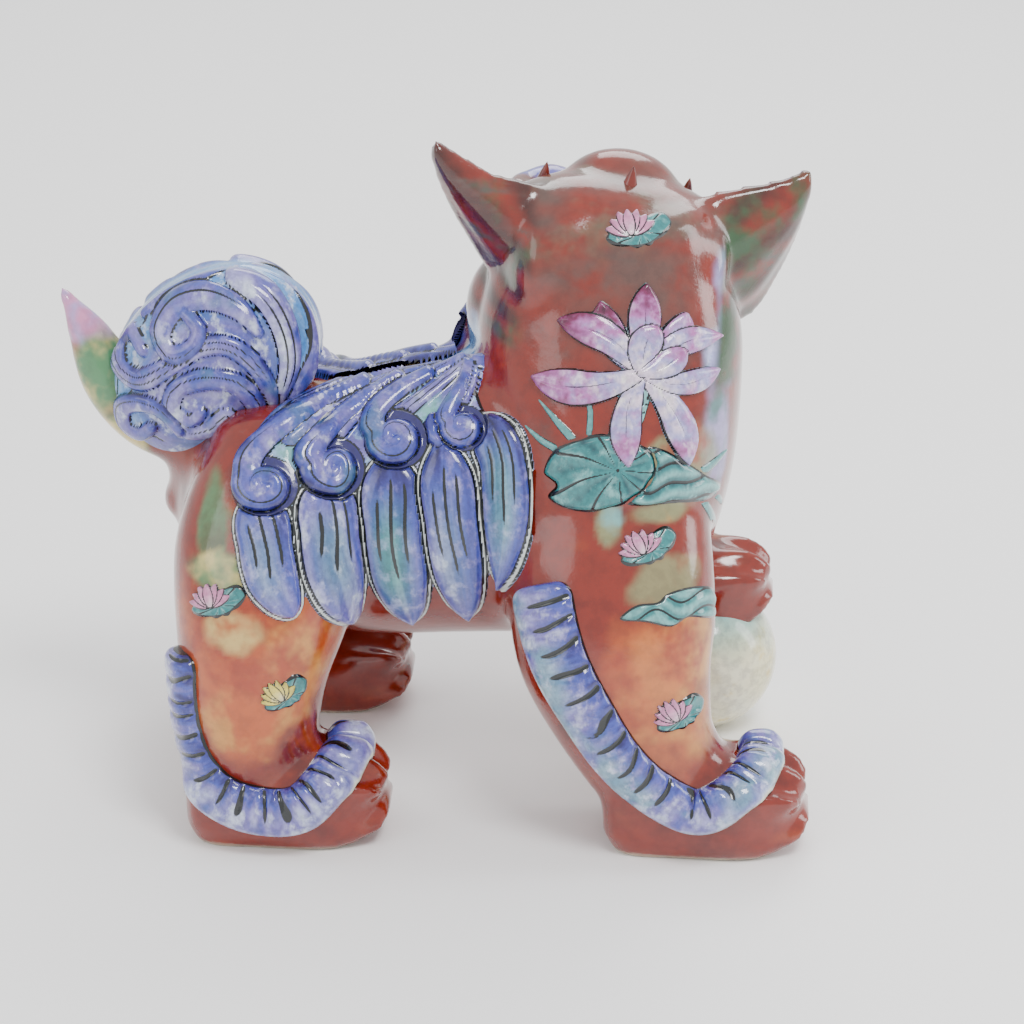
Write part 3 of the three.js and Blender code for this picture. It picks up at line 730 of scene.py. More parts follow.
def lay_stroke(sheet, rows, lift, base, tone, seed, count=90, grooves=(0.25,)):
    """A rounded stroke: deep blue in its hollows and down one side as painted shade, and pale along its crest as a
    painted highlight.
    """
    share, across, u = strand(sheet.x, sheet.z, rows, count)
    grain = brushed(sheet.place, 9, seed)
    crest = np.sqrt(np.clip(1 - share ** 2, 0, 1))
    # Painted shade and highlight: darker towards the edges and down one side, paler along the crest.
    shade = tone + 0.30 * (crest - 0.6) - 0.16 * across + 0.22 * grain
    lines = sum(step(0.13, 0.03, np.abs(across - groove)) * step(0.02, 0.2, u) * step(0.98, 0.6, u) for groove in grooves)
    ink = np.maximum(edge_ink(share), 0.75 * lines)
    height = base + lift * crest - 0.7 * lines
    paint = mixed(blue(shade), TEAL, 0.35 * step(0.25, 0.8, brushed(sheet.place, 16, seed + 9)))
    sheet.lay(share < 1, height, paint, blue(shade + 0.3), ink, 0.32)


def lay_feather(sheet, rows, lift, base, tone, teal, seed):
    """A long feather with a pale edge, a dark outline and lines down its vane."""
    share, across, u = strand(sheet.x, sheet.z, rows, 120)
    rim = np.array(rows, float)
    rim[:, 2] += 2.2
    around, _, _ = strand(sheet.x, sheet.z, rim.tolist(), 120)
    sheet.lay(around < 1, base + 1.0 + 0 * around, mixed(CREAM, PALE_SKY, 0.3), CREAM, edge_ink(around, 0.9, 0.98), 0.3)
    grain = brushed(np.stack([across * 18, u * 30, 0 * u], -1), (5, 16, 5), seed)
    crest = np.clip(1 - np.abs(share) ** 3.2, 0, 1) ** 0.5
    shade = tone + 0.16 * u - 0.30 * step(0.25, 0.0, u) - 0.20 * step(0.3, 1.0, -across) + 0.2 * grain
    shade = shade - 0.12 * step(0.78, 1, u) + 0.2 * step(0.72, 0.95, share)
    wave = 0.07 * np.sin(u * 9 + seed)
    ink = edge_ink(share, 0.88, 0.97)
    for place, first, last in ((-0.42, 0.1, 0.62), (0.02, 0.06, 0.72), (0.44, 0.16, 0.6)):
        ink = np.maximum(ink, step(0.085, 0.02, np.abs(across - place - wave)) * step(first, first + 0.1, u) * step(last, last - 0.2, u))
    green = teal * step(0.12, 0.4, u) * step(0.95, 0.6, u) * step(0.9, 0.1, np.abs(across - 0.15))
    paint = mixed(blue(shade), mixed(PALE_TEAL, TEAL, 0.5 - grain), green)
    sheet.lay(share < 1, base + lift * crest - 0.6 * ink, paint, mixed(blue(shade + 0.28), PALE_TEAL, 0.6 * green), ink, 0.36)


def pointed(rows, half, count=7):
    """A centre line given the half widths of a feather: round above, and pointed below."""
    u = np.linspace(0, 1, count)
    line = along(rows, u)
    width = half * np.minimum(np.sqrt(np.clip(u / 0.16 + 0.15, 0, 1)), 1) * np.clip(1 - (np.clip(u - 0.5, 0, 1) / 0.5) ** 2.3, 0.03, 1)
    return np.concatenate([line, width[:, None]], -1).tolist()


MANTLE_OUTLINE = [
    [-109, 208], [-108, 232], [-97, 250], [-74, 265], [-45, 279], [-6, 289], [22, 297], [28, 293],
    [26, 279], [33, 261], [43, 254], [56, 228], [57, 196], [50, 172], [10, 176], [-50, 178], [-96, 186],
]
FEATHERS = [
    ([[-95, 205], [-91, 176], [-86, 153], [-76, 133]], 15.5, 0.42, 0.35),
    ([[-58, 214], [-56, 185], [-53, 158], [-49, 129]], 17.5, 0.55, 0.55),
    ([[35, 256], [44, 230], [46, 190], [44, 153]], 14.5, 0.3, 0.65),
    ([[-22, 230], [-19, 190], [-16, 158], [-10, 133]], 18, 0.42, 0.95),
    ([[9, 240], [14, 195], [18, 162], [23, 136]], 16, 0.42, 0.3),
]
STREAMS = [
    [[27, 299, 2], [0, 289, 4], [-34, 279, 6], [-62, 262, 7], [-80, 244, 6]],
    [[20, 298, 2], [-8, 282, 4], [-38, 266, 6], [-54, 248, 6]],
    [[27, 298, 2], [6, 280, 4], [-10, 266, 5], [-22, 256, 5]],
    [[28, 298, 2], [24, 282, 4], [18, 268, 5]],
    [[-20, 290, 3], [-52, 279, 5], [-80, 262, 6], [-98, 240, 6]],
]
COILS = [
    ([[-40, 279], [-66, 265], [-88, 248], [-101, 232]], [-93, 213], 11, 160, 1.45, 8.4),
    ([[-20, 281], [-46, 262], [-63, 246], [-70, 234]], [-56, 225], 11.5, 170, 1.45, 8.6),
    ([[-2, 284], [-18, 274], [-30, 262], [-33, 252]], [-19, 244], 11, 165, 1.45, 8.0),
    ([[25, 294], [20, 280], [13, 266], [10, 258]], [20, 252], 8, 165, 1.4, 6.6),
]


def mantle(x, z):
    sheet = Sheet(x, z, ULTRAMARINE)
    depth = margin(x, z, MANTLE_OUTLINE)
    grain = brushed(sheet.place, 12, 5)
    field = mixed(blue(0.5 + 0.35 * grain), PALE_TEAL, step(0.0, 0.7, cloud(sheet.place, 20, 6)))
    sheet.lay(depth > -1.5, np.clip(depth * 0.9, EDGE_SINK, 2.0), field, PALE_SKY, step(1.6, 0.6, np.abs(depth - 0.6)), 0.4)
    for k, (rows, half, tone, teal) in enumerate(FEATHERS):
        lay_feather(sheet, pointed(rows, half), 6.6, 1.2, tone, teal, 20 + k)
    for k, rows in enumerate(STREAMS):
        lay_stroke(sheet, rows, 4.0, 2.0, 0.36 + 0.05 * (k % 3), 40 + k, grooves=(-0.3, 0.3))
    lay_stroke(sheet, [[3, 256, 5], [3, 249, 7], [6, 244, 5]], 5.5, 2.6, 0.3, 58, grooves=())
    for k, (stalk, middle, radius, start, turns, half) in enumerate(COILS):
        around = np.hypot(x - middle[0], z - middle[1]) / (radius + half)
        sheet.lay(around < 1, 2.4 + 0 * x, blue(0.12 + 0 * x), NIGHT, edge_ink(around, 0.92, 0.98), 0.2)
        lay_stroke(sheet, coil(stalk, middle, radius, start, turns, 1, half), 6.2, 2.6, 0.36, 60 + k, 150, (0.3,))
    return sheet.done()


# The tail
TAIL_STROKES = [
    ([[-84, 249, 4], [-66, 273, 8], [-67, 299, 9], [-82, 320, 9], [-113, 329, 8], [-142, 317, 7], [-160, 303, 5], [-169, 295, 4]], 0.34),
    ([[-92, 245, 3], [-84, 268, 6], [-86, 290, 7], [-97, 308, 7], [-116, 318, 5]], 0.6),
    ([[-95, 236, 3], [-96, 258, 5], [-106, 276, 6], [-121, 284, 6], [-138, 280, 6], [-154, 268, 6], [-170, 259, 7],
      [-183, 264, 7], [-184, 277, 6], [-175, 283, 5], [-168, 276, 4]], 0.42),
    ([[-100, 290, 3], [-112, 303, 6], [-130, 308, 7], [-148, 302, 7], [-157, 288, 7], [-150, 277, 6], [-138, 282, 5],
      [-134, 292, 5], [-142, 299, 4]], 0.46),
    ([[-106, 228, 3], [-103, 246, 6], [-113, 261, 7], [-131, 264, 7], [-147, 257, 6], [-151, 243, 6], [-141, 236, 5],
      [-134, 243, 4]], 0.44),
    ([[-116, 224, 3], [-119, 240, 6], [-129, 232, 6], [-142, 229, 5], [-150, 236, 4]], 0.62),
    ([[-147, 230, 4], [-157, 242, 5], [-170, 245, 6], [-181, 239, 6], [-181, 227, 5], [-172, 223, 5], [-164, 230, 4]], 0.4),
]


def tail_relief(x, z):
    sheet = Sheet(x, z, PALE_SKY)
    slope = TAIL_SLOPE * DEG
    dx, dz = x - TAIL_MIDDLE[0], z - TAIL_MIDDLE[2]
    long = (dx * math.cos(slope) + dz * math.sin(slope)) / TAIL_RADII[0]
    tall = (-dx * math.sin(slope) + dz * math.cos(slope)) / TAIL_RADII[2]
    out = np.hypot(long, tall)
    turn = np.arctan2(tall, long)
    streaks = brushed(np.stack([out * 60, turn * 25, 0 * out], -1), (5, 22, 5), 71)
    rim = mixed(blue(0.55 + 0.25 * streaks), mixed(SKY, PALE_SKY, 0.35 + 0.5 * streaks), step(0.55, 0.86, out) * step(-1.9, -0.7, turn))
    low = step(-0.2, -0.9, tall) * step(0.2, -0.5, long)
    rim = mixed(rim, PALE_TEAL, 0.6 * low)
    lines = step(0.86, 0.95, np.cos(out * 34 + streaks)) * step(0.4, 0.75, cloud(sheet.place, 14, 72) + 0.5) * step(0.5, 0.7, out)
    sheet.lay(out < 9, 0 * x - 0.4 * lines, rim, FROST, 0.6 * lines, 0.36)
    for k, (rows, tone) in enumerate(TAIL_STROKES):
        lay_stroke(sheet, rows, 4.4, 0.4, tone, 80 + k, 120, (-0.32, 0.25) if k < 3 else (0.28,))
    return sheet.done()


def tail_plume(material):
    points, faces = ball((0, 0, 0), TAIL_RADII, 300, 200)
    points = points[:, [2, 1, 0]] / np.array(TAIL_RADII)[[2, 1, 0]] * TAIL_RADII
    ways = unit(points / np.square(TAIL_RADII))
    turn = rotation("y", -TAIL_SLOPE)
    points, ways = points @ turn.T + TAIL_MIDDLE, ways @ turn.T
    lift, paint, wash, ink, amount = [values[0] for values in tail_relief(points[None, :, 0], points[None, :, 2])]
    sides = step(0.12, 0.5, np.abs(ways[:, 1]))
    top = mixed(SKY, PALE_SKY, 0.4 + 0.5 * brushed(points, 14, 77))
    paint = mixed(top, paint, step(0.1, 0.4, np.abs(ways[:, 1])))
    points = points + ways * (lift * sides)[:, None]
    faces = [face[::-1] for face in faces]
    return show("tail_plume", points, faces, material, paint, wash, ink * sides, amount)


# Frills
FORE_FRILL = [
    [66, 168, 0, 10], [72, 150, 0, 10], [80, 124, 0, 5], [93, 97, 0, 0], [110, 70, 0, 0], [132, 47, 0, 0],
    [158, 34, 0, 0], [181, 34, 20, 0], [192, 32, 50, 0], [195, 30, 90, 0], [192, 30, 125, 0],
]
FRILL_REACH = 62
HIND_FRILL = [
    [-112, 122, 0, 68], [-114, 98, 0, 64], [-116, 72, 0, 54], [-113, 46, 0, 34], [-100, 30, 0, 10],
    [-78, 29, 0, 0], [-60, 32, 15, 0], [-49, 32, 50, 0], [-46, 30, 90, 0], [-49, 30, 125, 0],
]


def frill(name, tree, rows, side, ribs, start_half, end_half, teal, seed, material, plane=STANCE, lift=9.5):
    """A pleated band on a leg. The row along it comes first, and the way across it second."""
    long, wide = 330, 74
    u = np.linspace(0, 1, long)
    spots, ways = [], []
    for x, z, above, behind in along(rows, u):
        level = math.cos(above * DEG)
        outward = Vector((-math.sin(behind * DEG) * level, side * math.cos(behind * DEG) * level, math.sin(above * DEG)))
        spot, way, _, _ = tree.ray_cast(Vector((x, side * plane, z)) + outward * FRILL_REACH, -outward)
        spots.append(spot)
        ways.append(way)
    line = np.array(spots)[:, None]
    line = softened(line, 90)[:, 0]
    way = unit(softened(np.array(ways)[:, None], 160)[:, 0])
    forward = unit(np.gradient(line, axis=0))
    way = unit(way - forward * (way * forward).sum(-1, keepdims=True))
    right = np.cross(way, forward)
    half = start_half + (end_half - start_half) * np.clip(u * 1.8, 0, 1)
    half = half * np.sqrt(1 - (1 - np.clip(np.minimum(u, 1 - u) / 0.07, 0.02, 1)) ** 2)
    a = np.linspace(-1, 1, wide)[None]
    inner = -a * side
    flat = line[:, None] + right[:, None] * (half[:, None] * a)[..., None]
    points, out = np.zeros(flat.shape), np.zeros(flat.shape)
    for place in np.ndindex(flat.shape[:2]):
        spot, normal, _, _ = tree.find_nearest(Vector(flat[place]))
        points[place], out[place] = spot, normal
    out = unit(softened(out, 8) + 0.6 * way[:, None])
    points = softened(points, 3)
    span = np.concatenate([[0], np.cumsum(np.linalg.norm(np.diff(line, axis=0), axis=-1))])[:, None]
    grain = brushed(np.stack([span + 0 * a, a * 20 + 0 * span, 0 * a + 0 * span], -1), (4, 12, 4), seed)
    wobble = 0.35 * cloud(np.stack([span + 0 * a, a * 9 + 0 * span, 0 * a + 0 * span], -1), 13, seed + 3)
    phase = u[:, None] * ribs + 0.28 * inner ** 2 + wobble
    rib = 0.5 + 0.5 * np.cos(2 * math.pi * phase)
    strong = step(-0.95, 0.2, inner) * step(1.02, 0.85, np.abs(a))
    groove = (1 - rib) ** 3 * strong
    crown = np.clip(1 - np.abs(a) ** 3.4, 0, 1) ** 0.55
    ends = np.sqrt(1 - (1 - np.clip(np.minimum(u, 1 - u) / 0.045, 0, 1)) ** 2)[:, None]
    height = EDGE_SINK + (lift - EDGE_SINK) * crown * ends - 2.0 * groove * ends
    tone = 0.66 - 0.40 * step(-0.2, 1.0, inner) + 0.24 * grain + 0.16 * (rib - 0.5) + 0.2 * step(-0.6, -0.95, inner)
    paint = mixed(blue(tone), mixed(PALE_TEAL, TEAL, 0.3), teal * step(0.2, 0.8, brushed(np.stack([span + 0 * a, a * 20 + 0 * span, 0 * a + 7 + 0 * span], -1), 22, seed + 5) + 0.45) * step(0.7, -0.3, inner))
    paint = mixed(paint, CREAM, step(0.84, 0.93, np.abs(a)) * step(0.3, -0.6, inner))
    ink = np.maximum(step(0.45, 0.95, groove) * step(-0.6, 0.0, wobble + 0.2 + 0.3 * grain), step(0.945, 0.975, np.abs(a)))
    ink = np.maximum(ink, 0 * u[:, None] + step(0.012, 0.005, np.minimum(u, 1 - u))[:, None])
    points = points + out * height[..., None]
    faces = grid_faces(np.ones(flat.shape[:2], bool))
    count = long * wide
    return show(name, points.reshape(-1, 3), faces, material, paint.reshape(-1, 3), blue(tone + 0.3).reshape(-1, 3),
                ink.reshape(-1), np.full(count, 0.34))


# Lotus reliefs
FLOWER = (121, 291)
# Rows: angle, length, half width and bend of each petal, and how far its colour runs to pale.
PETALS = [
    (118, 50, 10, 0.10, 0.25), (58, 46, 10, -0.10, 0.8), (30, 52, 9, 0.12, 0.9), (88, 56, 10, 0.0, 0.45),
    (146, 58, 11, -0.12, 0.2), (-64, 62, 10, 0.10, 0.95), (-96, 58, 9.5, -0.08, 0.8), (8, 44, 8, -0.2, 0.9),
    (182, 62, 12, 0.14, 0.3), (74, 30, 10, 0.12, 0.7), (34, 28, 9, -0.1, 0.95),
]
LEAF_PAD = [
    [66, 229], [74, 243], [88, 250], [104, 253], [120, 248], [130, 238], [126, 222], [108, 208], [84, 205], [70, 213], [74, 221],
]
WATER = [[110, 238], [128, 246], [146, 238], [158, 230], [168, 224], [160, 214], [140, 211], [120, 209], [104, 214]]
BLADES = [
    [[86, 246, 2.4], [76, 258, 2.2], [63, 274, 0.6]], [[80, 240, 2.2], [66, 248, 2], [55, 258, 0.6]],
    [[92, 250, 1.6], [93, 262, 1.8], [92, 276, 1.2]], [[152, 228, 2.4], [162, 236, 2.2], [171, 246, 0.7]],
    [[150, 222, 2.4], [164, 218, 2.2], [173, 206, 0.7]], [[156, 216, 2.2], [163, 204, 2], [166, 188, 0.7]],
]


def lay_petal(sheet, foot, angle, long, half, bend, pale, seed):
    way = np.array([math.cos(angle * DEG), math.sin(angle * DEG)])
    square = np.array([-way[1], way[0]])
    rows = []
    for u in np.linspace(0, 1, 9):
        spot = np.array(foot) + way * long * u + square * long * bend * math.sin(u * math.pi)
        width = half * (0.3 + 0.7 * math.sin(min(u * 1.35, 1) * 90 * DEG)) * (1 - max(u - 0.62, 0) ** 1.7 / 0.38 ** 1.7 * 0.97)
        rows.append([*spot, width])
    share, across, u = strand(sheet.x, sheet.z, rows, 70)
    grain = brushed(sheet.place, 7, seed)
    crest = np.clip(1 - share ** 2, 0, 1) ** 0.5
    rise = 1.0 + 3.2 * crest - 0.9 * step(0.16, 0.02, np.abs(across)) * step(0.1, 0.3, u)
    tone = np.clip(1.0 - u * (1.05 - 0.55 * pale) + 0.25 * grain + 0.12 * (crest - 0.5), 0, 1)
    paint = ramp([DARK_PLUM, MAGENTA, ORCHID, LILAC, BLUSH], tone)
    vein = step(0.07, 0.02, np.abs(across - 0.1 * np.sin(u * 5))) * step(0.15, 0.3, u) * step(0.9, 0.6, u)
    ink = np.maximum(edge_ink(share, 0.84, 0.95), 0.55 * vein)
    sheet.lay(share < 1, rise, paint, ramp([MAGENTA, ORCHID, BLUSH, WHITE], tone), ink, 0.36)


def lay_leaf(sheet, corners, node, veins, lift, seed, pale=0.3):
    """A leaf or a pad: veins run out from its node."""
    depth = margin(sheet.x, sheet.z, corners)
    dx, dz = sheet.x - node[0], sheet.z - node[1]
    away, turn = np.hypot(dx, dz), np.arctan2(dz, dx)
    grain = brushed(sheet.place, 8, seed)
    fold = np.cos(turn * veins + 0.5 * np.sin(away / 7 + seed))
    vein = step(0.93, 0.995, fold) * step(1.5, 5, away) * step(0.5, 2.0, depth)
    rise = np.clip(depth * 0.8, EDGE_SINK, lift) + 0.5 * fold * step(0, 6, away) - 0.5 * vein
    tone = 0.45 + 0.3 * grain + 0.22 * fold
    paint = ramp([DEEP_TEAL, TEAL, TEAL, PALE_TEAL], tone)
    ink = np.maximum(np.maximum(vein, step(1.5, 0.7, np.abs(depth - 0.4))), step(1.3, 0.6, away))
    sheet.lay(depth > -1.2, rise, paint, PALE_TEAL, ink, pale)


def lotus(x, z):
    sheet = Sheet(x, z, TEAL)
    for rows in BLADES:
        share, _, _ = strand(x, z, rows, 40)
        sheet.lay(share < 1.35, 0.9 * np.clip(1.3 - share, -1, 1), mixed(TEAL, PALE_TEAL, 0.4 + 0 * x), PALE_TEAL, step(0.75, 1.05, share), 0.3)
    depth = margin(x, z, WATER)
    bands = np.sin(z / 1.9 + 2.4 * np.sin(x / 9.0) + 1.1 * np.sin(x / 3.9 + 1))
    tone = 0.5 + 0.42 * bands + 0.2 * brushed(sheet.place, 6, 11)
    ink = np.maximum(step(0.8, 0.97, -bands), step(1.4, 0.6, np.abs(depth - 0.4)))
    rise = np.clip(depth * 0.8, EDGE_SINK, 2.4) + 0.7 * bands * step(0, 2, depth)
    sheet.lay(depth > -1.2, rise, ramp([DEEP_TEAL, TEAL, PALE_TEAL], tone), PALE_TEAL, ink, 0.34)
    lay_leaf(sheet, LEAF_PAD, (109, 231), 9, 2.6, 12)
    share, across, u = strand(x, z, [[120, 276, 6.5], [117, 262, 6], [112, 246, 5]], 50)
    dots = np.cos(u * 40) * np.cos(across * 9)
    stem = mixed(PALE_TEAL, TEAL, step(-0.5, 0.8, across))
    sheet.lay(share < 1, 1.2 + 1.8 * np.sqrt(np.clip(1 - share ** 2, 0, 1)), stem, PALE_TEAL, np.maximum(edge_ink(share, 0.8, 0.95), step(0.55, 0.8, dots)), 0.3)
    for k, (angle, long, half, bend, pale) in enumerate(PETALS):
        lay_petal(sheet, FLOWER, angle, long, half, bend, pale, 100 + k)
    return sheet.done()


def motif(middle, size, tilt, petal):
    """A small lotus flower on its leaf. It is size millimetres wide."""
    turn = np.array([[math.cos(tilt * DEG), math.sin(tilt * DEG)], [-math.sin(tilt * DEG), math.cos(tilt * DEG)]])

    def form(x, z):
        flat = np.stack([x - middle[0], z - middle[1]], -1) @ turn.T * (36 / size)
        sheet = Sheet(flat[..., 0], flat[..., 1], TEAL)
        corners = [[-17, -5], [-8, -10], [4, -9.5], [12, -4], [17.5, 3], [13, 9], [4, 8], [-3, 2], [-11, 3]]
        lay_leaf(sheet, corners, (1, -3), 7, 1.3, 31, 0.3)
        for k, angle in enumerate((166, 28, 142, 52, 118, 76, 98)):
            long = 12.5 if k < 4 else 13.5
            way = (math.cos(angle * DEG), math.sin(angle * DEG))
            rows = [[-4 + way[0] * long * u, -3 + way[1] * long * u, 2.9 * math.sin((0.1 + 0.86 * u) * math.pi) ** 0.8 + 0.3] for u in np.linspace(0.05, 1, 7)]
            share, _, u = strand(sheet.x, sheet.z, rows, 40)
            colours = ramp([WHITE * 0.5 + petal * 0.5, petal, petal * 0.8], u + 0.2 * cloud(sheet.place, 3, 8))
            sheet.lay(share < 1, 1.4 + 0.9 * np.clip(1 - share ** 2, 0, 1), colours, WHITE * 0.7 + petal * 0.3, edge_ink(share, 0.68, 0.9), 0.25)
        return sheet.done()

    return form


def wave_motif(middle):
    def form(x, z):
        dx, dz = x - middle[0], z - middle[1]
        sheet = Sheet(dx, dz - 0.10 * dx, TEAL)
        corners = [[-27, -5], [-18, 3], [-6, 4], [0, 9], [14, 12], [26, 9], [27, -8], [12, -7], [2, -12], [-12, -8]]
        depth = margin(sheet.x, sheet.z, corners)
        folds = np.sin(sheet.z / 1.7 + 2.2 * np.sin(sheet.x / 4.6) + 0.8)
        tone = 0.55 + 0.35 * folds + 0.2 * brushed(sheet.place, 6, 14)
        ink = np.maximum(step(0.85, 0.98, -folds), step(1.2, 0.6, np.abs(depth - 0.3)))
        rise = np.clip(depth * 0.8, EDGE_SINK, 1.4) + 0.4 * folds * step(0, 2, depth)
        sheet.lay(depth > -1.2, rise, ramp([TEAL, TEAL, PALE_TEAL], tone), PALE_TEAL, ink, 0.3)
        return sheet.done()

    return form


# Rows: name, middle, width, tilt, colour, distance from the middle plane
MOTIFS = [
    ("lotus_head", (118, 364), 40, 4, PINK, 45),
    ("lotus_shoulder", (127, 191), 37, 16, PINK, 98),
    ("lotus_shin", (147, 92), 34, 22, PINK, 110),
    ("lotus_hip", (-118, 152), 36, 4, PINK, 100),
    ("lotus_thigh", (-80, 100), 31, 26, YELLOW, 112),
]


# The colours of the body
# Rows: middle, radii, the two colours and how much of the second, and the strength. The second side mirrors them.
NEAR = [
    ((112, -70, 330), (50, 60, 60), SLATE, RED, 0.5, 0.75),
    ((100, -60, 280), (60, 60, 50), RED, SLATE, 0.3, 0.6),
    # Lilac and pale blue down the front of the neck: the glaze's own paint, and also a painted reflection of the lamps.
    ((176, -40, 322), (16, 50, 34), LILAC, PALE_SKY, 0.5, 1.0),
    ((172, -50, 285), (16, 40, 22), PALE_SKY, LILAC, 0.5, 1.0),
    ((168, -60, 240), (12, 30, 40), LILAC, TEAL, 0.4, 0.8),
    ((150, -80, 232), (26, 40, 24), KHAKI, RUST, 0.4, 0.8),
    ((105, -95, 204), (9, 30, 14), KHAKI, PALE_TEAL, 0.4, 0.9),
    # Khaki with amber at the front of the chest: brushed paint, and also a painted reflection of the lamps.
    ((140, -95, 206), (28, 30, 8), KHAKI, AMBER, 0.4, 0.85),
    ((140, -110, 172), (26, 30, 18), KHAKI, RUST, 0.4, 0.75),
    ((150, -115, 130), (34, 40, 34), AMBER, RUST, 0.45, 0.9),
    ((140, -118, 88), (36, 40, 30), AMBER, ORANGE, 0.5, 0.85),
    ((128, -118, 118), (26, 40, 40), ORANGE, RUST, 0.5, 0.7),
    ((130, -110, 62), (30, 40, 20), RUST, RED, 0.4, 0.8),
    ((-100, -105, 125), (62, 60, 48), RUST, ORANGE, 0.5, 0.9),
    ((-72, -110, 128), (22, 40, 26), AMBER, RUST, 0.5, 0.85),
    ((-96, -112, 84), (38, 40, 26), ORANGE, AMBER, 0.42, 0.85),
    ((-108, -112, 140), (20, 40, 14), STRAW, RUST, 0.55, 0.7),
    ((-124, -100, 196), (10, 40, 30), GREEN, MOSS, 0.5, 0.85),
    ((-112, -100, 170), (26, 40, 12), GREEN, STRAW, 0.4, 0.85),
    ((-104, -100, 206), (10, 40, 12), GREEN, RUST, 0.5, 0.8),
    ((-60, -108, 60), (30, 60, 26), DEEP_RED, RUST, 0.4, 0.9),
]
MIDDLE = [
    ((-60, 0, 262), (16, 14, 20), STRAW, PINK, 0.5, 1.0),
    ((-36, 0, 266), (16, 14, 20), PINK, KHAKI, 0.5, 1.0),
    ((-14, 0, 270), (14, 14, 20), STRAW, GREEN, 0.5, 1.0),
    ((14, 0, 276), (20, 20, 20), PALE_SKY, SKY, 0.5, 1.0),
    ((-208, 0, 292), (22, 30, 22), PINK, LILAC, 0.5, 1.0),
    ((-196, 0, 288), (14, 30, 16), LILAC, PINK, 0.5, 1.0),
    ((-196, 0, 252), (22, 30, 28), STRAW, GREEN, 0.55, 1.0),
    ((-180, 0, 222), (22, 30, 22), GREEN, STRAW, 0.5, 1.0),
]


def washed(points, colours, rows, mirror, seed):
    paint, wash, amount = colours
    rough = 0.30 * brushed(points, 22, seed)
    for middle, radii, one, other, share, strength in rows:
        place = points * (1, mirror, 1)
        far = np.linalg.norm((place - middle) / np.array(radii), axis=-1) + rough
        weight = strength * step(1.15, 0.75, far)
        paint, wash = mixed(paint, one, weight), mixed(wash, other, weight)
        amount = amount + (share - amount) * weight
    return paint, wash, amount


def body_colours(points, normals):
    count = len(points)
    tone = 0.5 + 0.5 * brushed(points, (30, 30, 16), 1)
    paint = ramp([DEEP_RED, RED, RED, RUST * 0.8], tone)
    wash = ramp([MAROON, DEEP_RED, RUST], 0.5 + 0.5 * cloud(points, 40, 2))
    colours = (paint, wash, np.full(count, 0.3))
    colours = washed(points, colours, NEAR, 1, 3)
    colours = washed(points, colours, NEAR, -1, 4)
    colours = washed(points, colours, MIDDLE, 1, 5)
    head = in_head(points)
    x, y, z = head.T
    strokes = brushed(np.stack([x, y, z], -1), (26, 26, 10), 6)
    close = step(150, 132, np.linalg.norm(head, axis=-1))
    crown = step(-30, 10, z) * step(320, 340, points[:, 2] + 0.3 * y)
    paint, wash, amount = colours
    brown = mixed(SLATE, RED, 0.5 + 0.9 * strokes)
    paint, wash = mixed(paint, brown, 0.85 * crown), mixed(wash, mixed(SLATE, KHAKI, 0.25), 0.8 * crown)
    ears = step(52, 60, np.abs(x)) * step(-40, -30, z) * close
    ribs = 0.5 + 0.5 * np.sin(np.arctan2(z + 30, np.abs(x)) * 26)
    back = mixed(mixed(MAROON, RED, ribs + 0.5 * strokes), SLATE, step(0.1, 0.6, strokes))
    paint, wash = mixed(paint, back, ears), mixed(wash, MOSS * 0.7, ears)
    inner = ears * step(0.15, 0.5, normals @ HEAD_TURN[:, 1])
    paint, wash = mixed(paint, mixed(LILAC, BLUSH, 0.5 + strokes), inner), mixed(wash, VIOLET, inner)
    front = step(58, 70, y) * (1 - ears) * step(-60, -50, z)
    paint, wash = mixed(paint, RUST, 0.8 * front), mixed(wash, AMBER, 0.8 * front)
    locks = step(-56, -66, z) * step(20, 34, y) * step(190, 210, points[:, 2]) * close
    curls = 0.5 + 0.5 * brushed(np.stack([x, y, z], -1), (7, 7, 26), 9)
    paint, wash = mixed(paint, blue(0.25 + 0.5 * curls), locks), mixed(wash, LILAC, locks)
    brow = step(14, 20, z) * step(56, 62, y) * step(40, 32, z)
    paint, wash = mixed(paint, blue(0.3 + 0.4 * curls), brow), mixed(wash, LILAC, brow)
    sole = step(3.5, 1.0, points[:, 2])
    paint, wash = mixed(paint, CLAY, 0.8 * sole), mixed(wash, CLAY, sole)
    return paint, wash, amount, sole


# The ball and the small things on the head
def glazed_ball(material):
    points, faces = ball(BALL_MIDDLE, (BALL_RADIUS,) * 3, 110, 80)
    points[:, 2] = np.maximum(points[:, 2], 0.2)
    faces = [face[::-1] for face in faces]
    high = step(12, 34, points[:, 2] - BALL_MIDDLE[2] + 8 * cloud(points, 18, 50))
    paint = mixed(mixed(BALL_CREAM, CREAM, 0.5 + 0.5 * brushed(points, 26, 51)), PALE_TEAL, 0.75 * high)
    return show("ball", points, faces, material, paint, mixed(STRAW, PALE_TEAL, high), 0.0, 0.3)


def spikes(material):
    parts = []
    for x, y, z, tall in ((0, 0, 53, 17), (-43, 30, 36, 18), (43, 30, 36, 18)):
        share = np.linspace(0, 1, 14)[:, None]
        turn = np.linspace(0, 2 * math.pi, 20, endpoint=False)[None]
        wide = 6.6 * (1 - share) ** 0.8 + 0.35 + 3.0 * np.exp(-share * 9)
        rings = np.stack([x + wide * np.cos(turn), y + wide * np.sin(turn), z - 5 + (tall + 4) * share + 0 * turn], -1)
        parts.append(on_head(capped(rings, rings[0].mean(0), rings[-1].mean(0) + (0, 0, 0.6))))
    points, faces = together(parts)
    return show("spikes", points, faces, material, mixed(RED, MAROON, 0.5 + 0.5 * cloud(points, 5, 52)), RUST, 0.0, 0.3)


